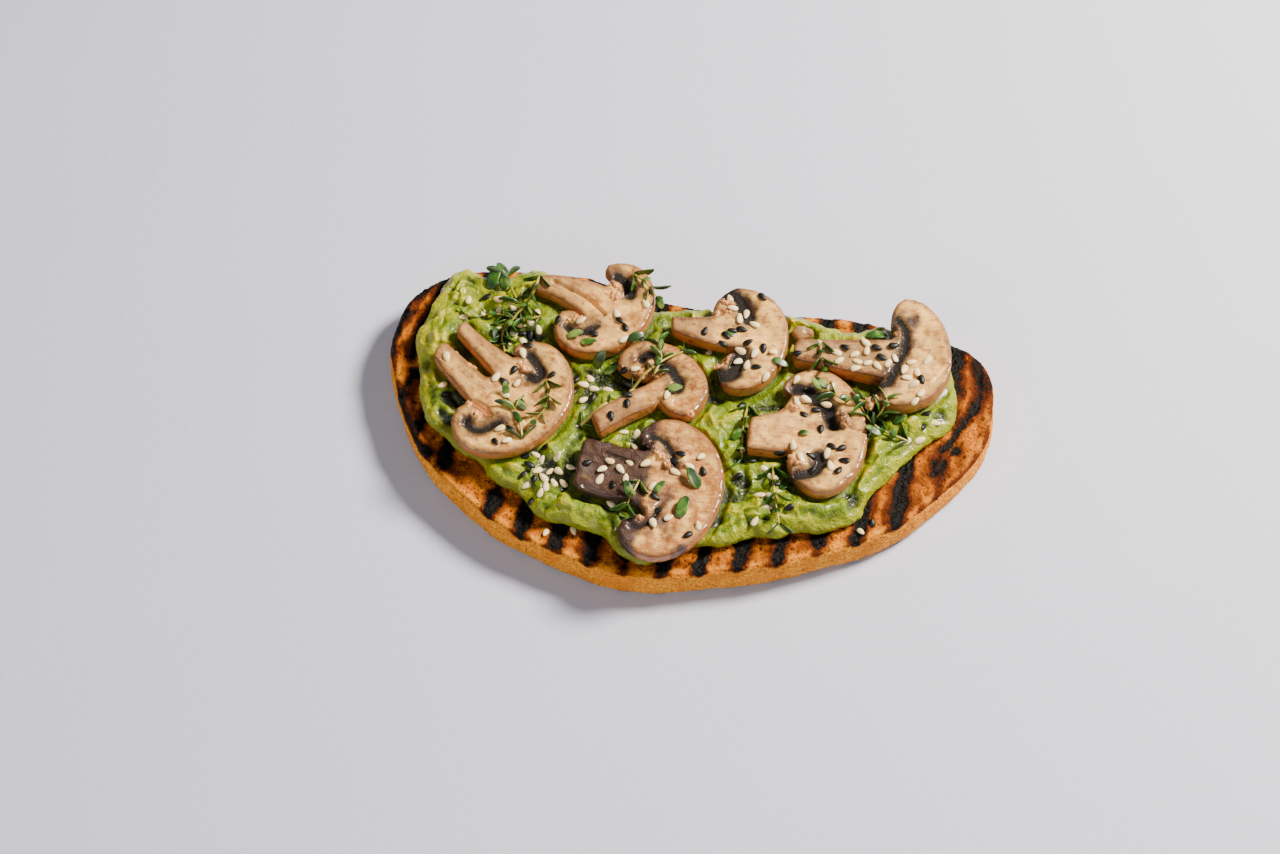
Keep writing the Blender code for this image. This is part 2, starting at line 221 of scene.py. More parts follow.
class Outline:
    """A node's outline seen from above, cut at half its height."""

    STEP = 0.25

    def __init__(self, node):
        low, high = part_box(node)
        bm = merged(node)
        cut = bmesh.ops.bisect_plane(
            bm, geom=bm.verts[:] + bm.edges[:] + bm.faces[:],
            plane_co=(low + high) / 2, plane_no=(0, 0, 1),
        )
        edges = [item for item in cut["geom_cut"] if isinstance(item, bmesh.types.BMEdge)]
        corners = self.walk(edges)
        bm.free()
        self.sides = list(zip(corners, np.roll(corners, -1, axis=0)))
        self.points = np.vstack([self.dots(a, b) for a, b in self.sides])
        self.nearest = Nearest(self.points)

    def dots(self, a, b):
        """Points a short step apart from one corner towards the next."""
        share = self.STEP / max(np.linalg.norm(b - a), self.STEP)
        return a + (b - a) * np.arange(0, 1, share)[:, None]

    def walk(self, edges):
        """The cut's corners in order, in millimetres."""
        start = edges[0].verts[0]
        loop, edge = [start], edges[0]
        cut = set(edges)
        while True:
            vert = edge.other_vert(loop[-1])
            if vert is start:
                break
            loop.append(vert)
            edge = next(e for e in vert.link_edges if e in cut and e is not edge)
        return np.array([v.co.xy[:] for v in loop]) / MM

    def encloses(self, points):
        """Whether each point lies inside: a line from it then crosses an odd number of sides."""
        x, y = points[:, :2].T
        odd = np.zeros(len(points), bool)
        for (x1, y1), (x2, y2) in self.sides:
            if y1 != y2:
                odd ^= ((y1 > y) != (y2 > y)) & (x < (x2 - x1) * (y - y1) / (y2 - y1) + x1)
        return odd

    def inward(self, points):
        """How far each point lies inside the outline; outside it is negative."""
        distance = self.nearest.find(points)[1]
        return np.where(self.encloses(points), distance, -distance)


def plain_mesh(obj, name):
    """The object as its modifiers show it, as a mesh of its own. The object is removed."""
    graph = bpy.context.evaluated_depsgraph_get()
    mesh = bpy.data.meshes.new_from_object(obj.evaluated_get(graph))
    mesh.name = name
    bpy.data.objects.remove(obj)
    return mesh


def new_object(name, mesh):
    obj = bpy.data.objects.new(name, mesh)
    bpy.context.scene.collection.objects.link(obj)
    return obj


def fine_mesh(node, face, lumps=()):
    """A node's solid with rounded facets and even faces, and its lumps grown on to it."""
    bm = merged(node)
    for place in lumps:
        bmesh.ops.create_icosphere(bm, subdivisions=3, radius=1.0, matrix=place)
    mesh = bpy.data.meshes.new(node)
    bm.to_mesh(mesh)
    bm.free()
    body = new_object(node + "_fine", mesh)
    rounding = body.modifiers.new("Rounding", "SUBSURF")
    rounding.levels = rounding.render_levels = 2
    even = body.modifiers.new("Even faces", "REMESH")
    even.mode = "VOXEL"
    even.voxel_size = face * MM
    return plain_mesh(body, node)


def points_of(mesh):
    values = np.empty(len(mesh.vertices) * 3, np.float32)
    mesh.vertices.foreach_get("co", values)
    return values.reshape(-1, 3).astype(float) / MM


def normals_of(mesh):
    values = np.empty(len(mesh.vertices) * 3, np.float32)
    mesh.vertices.foreach_get("normal", values)
    return values.reshape(-1, 3).astype(float)


def set_points(mesh, points):
    mesh.vertices.foreach_set("co", (points * MM).astype(np.float32).ravel())
    mesh.update()


def paint(mesh, **layers):
    """Stores one number for each vertex under each name, for the finish to read."""
    for name, values in layers.items():
        layer = mesh.attributes.new(name, "FLOAT", "POINT")
        layer.data.foreach_set("value", values.astype(np.float32))


def thin_out(mesh, hidden):
    """Puts one broad face in place of the small ones of each part that lies out of sight."""
    bm = bmesh.new()
    bm.from_mesh(mesh)
    buried = [face for face in bm.faces if all(hidden[vert.index] for vert in face.verts)]
    bmesh.ops.delete(bm, geom=buried, context="FACES")
    bmesh.ops.holes_fill(bm, edges=[edge for edge in bm.edges if edge.is_boundary], sides=0)
    bmesh.ops.recalc_face_normals(bm, faces=bm.faces)
    bm.to_mesh(mesh)
    bm.free()


def finished(name, mesh, nodes=()):
    """The mesh as a piece of the toast, in place of its nodes."""
    mesh.shade_smooth()
    piece = new_object(name, mesh)
    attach(piece, BODY)
    if nodes:
        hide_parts(*nodes)
    return piece


# -------------------------------------------------------------------------- node trees


class Wire:
    """An output socket. Arithmetic with it adds Math nodes to its tree."""

    def __init__(self, graph, socket):
        self.graph = graph
        self.socket = socket

    def calc(self, operation, *values):
        return self.graph.math(operation, self, *values)

    def __add__(self, other):
        return self.calc("ADD", other)

    def __sub__(self, other):
        return self.calc("SUBTRACT", other)

    def __mul__(self, other):
        return self.calc("MULTIPLY", other)

    def __truediv__(self, other):
        return self.calc("DIVIDE", other)

    def __rsub__(self, other):
        return self.graph.math("SUBTRACT", other, self)

    __radd__ = __add__
    __rmul__ = __mul__


class Graph:
    """A shader or geometry tree while it is being built."""

    def __init__(self, tree):
        self.tree = tree

    def add(self, kind, settings, inputs, output=0):
        """A node: its settings first, then the value or wire for each of its inputs."""
        node = self.tree.nodes.new(kind)
        for name, value in settings.items():
            if name == "stops":
                self.set_stops(node.color_ramp, value)
            else:
                setattr(node, name, value)
        for key, value in inputs.items():
            self.feed(node.inputs[key], value)
        return Wire(self, node.outputs[output])

    def feed(self, socket, value):
        if isinstance(value, Wire):
            self.tree.links.new(value.socket, socket)
        else:
            socket.default_value = value

    def set_stops(self, ramp, stops):
        while len(ramp.elements) < len(stops):
            ramp.elements.new(1.0)
        for element, (position, colour) in zip(ramp.elements, stops):
            element.position = position
            element.color = colour

    def math(self, operation, *values):
        return self.add("ShaderNodeMath", {"operation": operation}, dict(enumerate(values)))

    def step(self, low, high, value):
        """0 below low, 1 above high and smooth between; low may be the larger."""
        return self.add(
            "ShaderNodeMapRange", {"interpolation_type": "SMOOTHSTEP"},
            {"Value": value, "From Min": low, "From Max": high},
        )

    def blend(self, share, first, second, mode="MIX"):
        """One colour to another as share goes from 0 to 1."""
        return self.add(
            "ShaderNodeMix", {"data_type": "RGBA", "blend_type": mode},
            {0: share, 6: first, 7: second}, output=2,
        )


class Finish(Graph):
    """A material made of one Principled shader and what feeds it."""

    def __init__(self, name, **uniform):
        self.material = bpy.data.materials.new(name)
        self.material.use_nodes = True
        super().__init__(self.material.node_tree)
        self.shader = self.tree.nodes["Principled BSDF"]
        for socket, value in uniform.items():
            self.shader.inputs[socket.replace("_", " ")].default_value = value
        self.place = self.add("ShaderNodeTexCoord", {}, {}, output=3)

    def layer(self, name):
        """What paint() stored under this name."""
        return self.add("ShaderNodeAttribute", {"attribute_name": name}, {}, output=2)

    def speckle(self, size, detail=2.0):
        """Noise from 0 to 1 with features about this many millimetres across."""
        return self.add(
            "ShaderNodeTexNoise", {},
            {"Vector": self.place, "Scale": 1 / (size * MM), "Detail": detail},
        )

    def cells(self, size):
        """Distance to the nearest of scattered centres this many millimetres apart."""
        return self.add(
            "ShaderNodeTexVoronoi", {}, {"Vector": self.place, "Scale": 1 / (size * MM)}
        )

    def set(self, **wires):
        for socket, wire in wires.items():
            self.feed(self.shader.inputs[socket.replace("_", " ")], wire)

    def bump(self, height, depth, strength=1.0):
        """Relief of the surface from a height of 0 to 1, this many millimetres deep."""
        normal = self.add(
            "ShaderNodeBump", {},
            {"Height": height, "Distance": depth * MM, "Strength": strength},
        )
        self.feed(self.shader.inputs["Normal"], normal)


def shade(*rgb):
    """A colour given as red, green and blue from 0 to 255, as a shader's linear colour."""
    linear = []
    for value in rgb:
        value /= 255
        linear.append(value / 12.92 if value <= 0.04045 else ((value + 0.055) / 1.055) ** 2.4)
    return (*linear, 1.0)


# ------------------------------------------------------------------------------- bread

# The bars of the grill left black marks that fan out a little towards the front edge.
# Mark number k crosses the back edge and the front edge at these x.
MARK_NUMBERS = range(-5, 7)
BACK_MARK = (7.9, 10.4)  # x of mark 0, pitch
FRONT_MARK = (2.8, 10.95)
BACK_EDGE, FRONT_EDGE = 52.0, -54.0
MARK_HALF_WIDTH = 2.1
# Towards the ends the slice had bent, and its marks follow the crust: half-width, points.
END_MARKS = (
    (1.9, ((-67.8, 52.0), (-69.4, 42.0))),
    (2.0, ((-55.4, 53.0), (-56.4, 42.0))),
    (2.1, ((-76.8, 47.5), (-84.5, 41.5), (-90.5, 33.0), (-93.6, 22.0), (-93.2, 12.0))),
    (1.0, ((-82.5, 40.0), (-83.0, 31.0), (-85.4, 20.0), (-85.7, 11.0))),
    (2.1, ((-83.6, 5.0), (-85.9, -1.5), (-86.4, -6.0), (-83.5, -10.5))),
    (2.1, ((-75.6, -7.5), (-77.4, -12.5), (-77.4, -17.5), (-74.0, -22.0))),
    (2.1, ((-66.9, -13.0), (-67.5, -18.0), (-67.9, -24.0))),
    (2.0, ((79.0, 47.5), (79.8, 41.0), (79.8, 33.0), (80.8, 24.0), (79.5, 16.0))),
    (1.0, ((85.8, 43.0), (88.0, 35.0), (88.4, 26.5), (85.0, 18.5), (80.5, 9.5), (77.5, 2.5))),
    (1.0, ((83.9, 8.5), (80.3, 3.0), (78.0, -1.0))),
)


BREAD_TOP = 13.0  # height of the slice's upper face
# The slice is browner near its ends: x of its middle, and how far from there that starts.
BREAD_MIDDLE, END_START, END_FULL = -3.0, 70.0, 80.0
COVERED = 4.0  # this far under the avocado the bread can't be seen
FLAT = 0.99  # a face this level belongs to the top or the underside


def mark_lines():
    """Half-width and points of every grill mark."""
    lines = []
    for number in MARK_NUMBERS:
        back = BACK_MARK[0] + BACK_MARK[1] * number
        front = FRONT_MARK[0] + FRONT_MARK[1] * number
        lines.append((MARK_HALF_WIDTH, ((back, BACK_EDGE), (front, FRONT_EDGE))))
    return lines + list(END_MARKS)


def charring(points):
    """How deep each point lies inside a grill mark, in millimetres; outside it is negative."""
    dots, widths = [], []
    for half_width, line in mark_lines():
        curve = along(line, 0.5)
        dots.append(curve)
        widths.append(np.full(len(curve), half_width))
    widths = np.concatenate(widths)
    index, distance = Nearest(np.vstack(dots)).find(points)
    wander = 1.0 * noise(points, 6.0, 31) + 0.7 * noise(points, 2.2, 32)
    wander -= 1.6 * smoothstep(0.15, 0.6, noise(points, 8.0, 33))
    return widths[index] - distance + wander


def toast_finish(colours):
    finish = Finish("toasted_bread", Specular_IOR_Level=0.12)
    char, side = finish.layer("char"), finish.layer("side")
    pit, scorch = finish.layer("pit"), finish.layer("scorch")
    grain, patches = finish.speckle(0.7, 4.0), finish.speckle(6.0)
    fine = finish.speckle(0.3, 3.0)

    crumb = finish.blend(finish.step(0.35, 0.7, grain), colours.crumb_gold, colours.crumb_pale)
    crumb = finish.blend(finish.step(0.38, 0.66, patches) * 0.8, crumb, colours.crumb_brown)
    crust = finish.blend(finish.step(0.35, 0.65, grain), colours.crust_dark, colours.crust_pale)
    crust = finish.blend(finish.step(0.4, 0.7, patches) * 0.6, crust, colours.crust_brown)
    base = finish.blend(side, crumb, crust)
    heat = scorch + (grain - 0.5) * 1.1
    base = finish.blend(finish.step(0.15, 0.75, heat), base, colours.scorch)
    base = finish.blend(finish.step(0.75, 1.3, heat), base, colours.burnt_pit_shade_and_glint)
    # Painted shade: the crumb's pits, sunk into the relief, are painted towards the burnt colour.
    base = finish.blend(pit * 0.75, base, colours.burnt_pit_shade_and_glint)
    # Painted shade: the pores, sunk by the bump below, are painted towards the scorched colour.
    pores = finish.step(0.4, 0.15, finish.cells(1.3)) * finish.step(0.4, 0.56, finish.speckle(4.0))
    base = finish.blend(pores * (0.75 - side * 0.35), base, colours.scorch)
    edge = char + (grain - 0.5) * 1.6 + (fine - 0.5) * 0.8
    base = finish.blend(finish.step(-0.7, 0.15, edge), base, colours.burnt_pit_shade_and_glint)
    black = finish.step(0.0, 0.55, edge)
    base = finish.blend(black, base, colours.char)
    # Painted glints: random specks of the black char are painted towards the burnt colour.
    glint = finish.step(0.58, 0.68, finish.speckle(1.1, 3.0)) * 0.7
    base = finish.blend(black * glint, base, colours.burnt_pit_shade_and_glint)
    finish.set(Base_Color=base, Roughness=0.7 - black * 0.3 + fine * 0.1)
    finish.bump(grain * 0.6 + fine * 0.4 - pores * 0.5, 0.6, 0.9)
    return finish.material


def dress_bread(settings):
    outline, cover = Outline("bread"), Outline("avocado")
    mesh = fine_mesh("bread", settings.face / MM)
    points, normals = points_of(mesh), normals_of(mesh)
    inward = outline.inward(points)
    covered = cover.inward(points)
    x, y, z = points.T
    top = smoothstep(0.3, 0.75, normals[:, 2])
    under = smoothstep(0.3, 0.75, -normals[:, 2])
    wall = 1 - top - under
    hidden = (z > BREAD_TOP - 0.8) & (top > FLAT) & (covered > COVERED)
    hidden |= (z < 0.02) & (under > FLAT)

    crumb = top * smoothstep(1.5, 4.0, inward)
    char = charring(points)
    char -= 4.0 * wall * smoothstep(0.0, 3.0, BREAD_TOP - 0.4 - z)
    char -= smoothstep(3.2, 1.2, inward) * smoothstep(20.0, 0.0, y) * smoothstep(-95.0, -60.0, x)
    marked = smoothstep(-0.3, 0.6, char)

    large, large_number = bubbles(warped(points, 3.0, 0.5, 5), 2.1, 11)
    small, small_number = bubbles(points, 1.1, 12)
    pit = np.maximum(
        (1 - smoothstep(0.18, 0.42, large)) * (large_number < 0.45),
        (1 - smoothstep(0.15, 0.42, small)) * (small_number < 0.4) * 0.6,
    )
    blister, _ = bubbles(warped(points, 2.0, 0.4, 6), 1.3, 13)

    relief = crumb * (0.35 * fractal(points, 9.0, 1) + 0.24 * fractal(points, 1.9, 2))
    relief -= 0.55 * pit * crumb * (1 - 0.6 * marked)
    relief += marked * (0.5 * (0.6 - blister) - 0.25)
    relief += (1 - crumb) * (0.3 * fractal(points, 7.0, 3) + 0.13 * fractal(points, 1.3, 4))
    relief -= (1 - crumb) * 0.3 * pit * (small_number < 0.2)
    relief *= np.where(hidden, 0.0, smoothstep(0.0, 0.5, z))
    low = smoothstep(4.0, 0.5, z) * (1 - crumb)
    relief -= low * smoothstep(-0.1, 0.7, noise(points, 11.0, 8)) * 0.8
    moved = points + normals * relief[:, None]
    moved[:, 2] = np.where(z < 0.6, z, moved[:, 2])
    set_points(mesh, moved)

    scorch = smoothstep(-3.4, 0.2, char) * 0.75 + 0.55 * noise(points, 9.0, 21) * crumb
    # The sides also darken towards the bottom.
    scorch += 0.8 * smoothstep(2.5, 0.3, z) * wall + 0.35 * smoothstep(3.0, 0.8, inward) * top
    ends = smoothstep(END_START, END_FULL, np.abs(x - BREAD_MIDDLE)) * top
    streaks = noise(points * (1, 0.4, 1), 3.0, 24)
    scorch += ends * (0.2 + 0.6 * streaks + 0.2 * smoothstep(3.5, 1.5, inward))
    paint(mesh, char=char, side=1 - crumb, pit=pit * crumb, scorch=scorch)
    thin_out(mesh, hidden)
    mesh.materials.append(toast_finish(settings))
    return finished("bread_slice", mesh, ["bread"])


# ----------------------------------------------------------------------------- avocado


class Ground:
    """The undersides of the mushrooms, for what has to stay below them."""

    def __init__(self):
        self.outlines = [Outline(node) for node in MUSHROOMS]
        self.nearest = Nearest(np.vstack([outline.points for outline in self.outlines]))
        bm = bmesh.new()
        for node in MUSHROOMS:
            bm.from_mesh(frame["nodes"][node].data)
        self.shapes = BVHTree.FromBMesh(bm)
        bm.free()

    def outside(self, points):
        """How far each point lies outside every mushroom, seen from above."""
        distance = self.nearest.find(points)[1]
        under = np.any([outline.encloses(points) for outline in self.outlines], axis=0)
        return np.where(under, -distance, distance)

    def underside(self, points, default):
        """Height of the mushroom over each point, or the default where there is none."""
        heights = np.full(len(points), default)
        for i, (x, y) in enumerate(points[:, :2] * MM):
            hit = self.shapes.ray_cast(Vector((x, y, 0.0)), UP)[0]
            if hit is not None:
                heights[i] = hit.z / MM
        return heights


def avocado_finish(colours):
    finish = Finish(
        "crushed_avocado", Specular_IOR_Level=0.3, Subsurface_Weight=0.06, Subsurface_Scale=1.0,
        Subsurface_Radius=(0.0018, 0.0022, 0.0004), Coat_Weight=0.3, Coat_Roughness=0.16,
    )
    height, hollow, rim = finish.layer("height"), finish.layer("hollow"), finish.layer("rim")
    broad, middling = finish.speckle(9.0, 3.0), finish.speckle(2.4, 4.0)
    fine = finish.speckle(0.8, 4.0)
    # Painted light and shade: the tone follows the height layer, so the relief's crests are painted
    # yellower and lighter and its low ground deeper green, with random tone on top.
    tone = height + (broad - 0.5) * 1.3 + (middling - 0.5) * 1.0
    base = finish.blend(finish.step(-0.2, 0.55, tone), colours.deep, colours.fresh)
    base = finish.blend(finish.step(0.45, 1.15, tone), base, colours.buttery)
    # Painted shade in the relief's hollows and a painted contact shadow along the mushrooms.
    base = finish.blend(finish.step(0.0, 0.8, hollow) * 0.95, base, colours.shadow)
    base = finish.blend(finish.step(0.0, 1.0, rim) * 0.35, base, colours.buttery)
    fleck = finish.step(0.62, 0.75, fine) * 0.35
    base = finish.blend(fleck, base, colours.buttery)
    finish.set(Base_Color=base, Roughness=0.3 + middling * 0.25)
    finish.bump(middling * 0.4 + fine * 0.6, 1.0, 0.95)
    return finish.material


STROKE_PITCH = 3.3  # from one stroke of the knife to the next
CLEARANCE = 0.15  # kept between the avocado and the mushrooms over it


def dress_avocado(settings):
    outline, ground = Outline("avocado"), Ground()
    mesh = fine_mesh("avocado", settings.face / MM)
    points, normals = points_of(mesh), normals_of(mesh)
    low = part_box("avocado")[0].z / MM
    inward = outline.inward(points)
    clear = ground.outside(points)
    x, z = points[:, 0], points[:, 2]
    top = smoothstep(0.0, 0.6, normals[:, 2])
    base = smoothstep(low, low + 1.2, z)
    free = smoothstep(0.1, 1.9, clear)
    hidden = (z < low + 0.05) | ((clear < -1.6) & (normals[:, 2] > 0.8))

    stirred = warped(warped(points, 9.0, 3.0, 41), 3.5, 0.9, 44)
    mounds = 1.7 * fractal(stirred, 12.0, 51, 2)
    folds = 1 - 2.8 * np.abs(noise(stirred * (1, 1, 0.6), 7.0, 53))
    crests = 1 - 2.6 * np.abs(noise(warped(stirred, 5.0, 1.2, 65), 3.1, 54))
    lump, number = bubbles(stirred, 4.6, 55)
    strokes = np.sin(math.tau * inward / STROKE_PITCH + 4.0 * noise(points, 9.0, 57))
    strokes *= smoothstep(13.0, 3.0, inward) * smoothstep(-0.3, 0.3, noise(points, 18.0, 58))
    torn = smoothstep(-0.45, 0.25, noise(points, 24.0, 60))
    relief = mounds + mix(0.35, 1.05, torn) * folds + mix(0.12, 0.42, torn) * crests
    relief += torn * 0.6 * (0.55 - lump) * (number < 0.7)
    relief += 0.5 * strokes + 0.24 * fractal(points, 1.4, 59, 2)
    relief *= mix(0.45, 1.0, smoothstep(0.0, 4.0, inward))
    fill = smoothstep(0.1, 2.6, clear) * smoothstep(7.0, 3.0, clear)
    rise = free * top * (relief + fill)
    rise = np.maximum(rise, low + 1.0 - z)
    spread = base * (1 - top) * (0.55 * noise(stirred, 4.5, 61) + 0.3 * noise(stirred, 1.8, 62))
    moved = points.copy()
    moved[:, 2] += np.where(top > 0, rise, 0.0) * base
    moved[:, :2] += normals[:, :2] * spread[:, None]
    drift = np.stack([noise(stirred, 3.8, 63), noise(stirred, 3.8, 64)], axis=1)
    moved[:, :2] += drift * (0.9 * base * top * free * smoothstep(1.0, 3.0, clear))[:, None]
    ceiling = ground.underside(moved, np.inf) - CLEARANCE
    moved[:, 2] = np.minimum(moved[:, 2], ceiling)
    moved[:, 2] = np.where(hidden & (z < low + 0.05), z, moved[:, 2])
    set_points(mesh, moved)

    # Painted shade: dark in the relief's hollows, and a painted contact shadow on the mash next to
    # each mushroom.
    hollow = np.maximum(smoothstep(0.4, -1.6, relief), 0.4 * smoothstep(1.6, 0.1, clear))
    paint(
        mesh, hollow=hollow,
        # The height layer carries the relief as painted light and shade, and painted light on the
        # left end, which lies farther from the window lamp.
        height=np.clip(0.35 + 0.28 * relief, -1, 2) + 0.35 * smoothstep(-35.0, -75.0, x),
        rim=smoothstep(3.0, 0.5, inward),
    )
    thin_out(mesh, hidden)
    mesh.materials.append(avocado_finish(settings))
    return finished("avocado_mash", mesh, ["avocado"])


# --------------------------------------------------------------------------- mushrooms


class Lump(NamedTuple):
    """A bit that stands on a slice, such as a scrap of veil, in the slice's own (u, v)."""

    u: float
    v: float
    long: float
    wide: float
    bearing: float = 0.0
    lift: float = 0.4


class Look(NamedTuple):
    """What one slice shows on its cut face, in millimetres in its own (u, v).

    u runs from the middle of the cap to its crown and v to the left."""

    turn: float  # bearing of the crown
    crown: float  # from the middle of the cap to its crown
    left: float  # from the axis to the cap's left side
    thickness: float
    neck: float  # the stem begins this far behind the middle
    gills: tuple  # each a half-width, a depth and points
    veil: tuple = ()
    cuts: tuple = ()  # each a half-width, a depth and points
    stains: tuple = ()  # each u, v, radius and strength
    browning: float = 0.4
    stem_dark: float = 0.0
    glassy: float = 0.15  # how far the stem has turned translucent


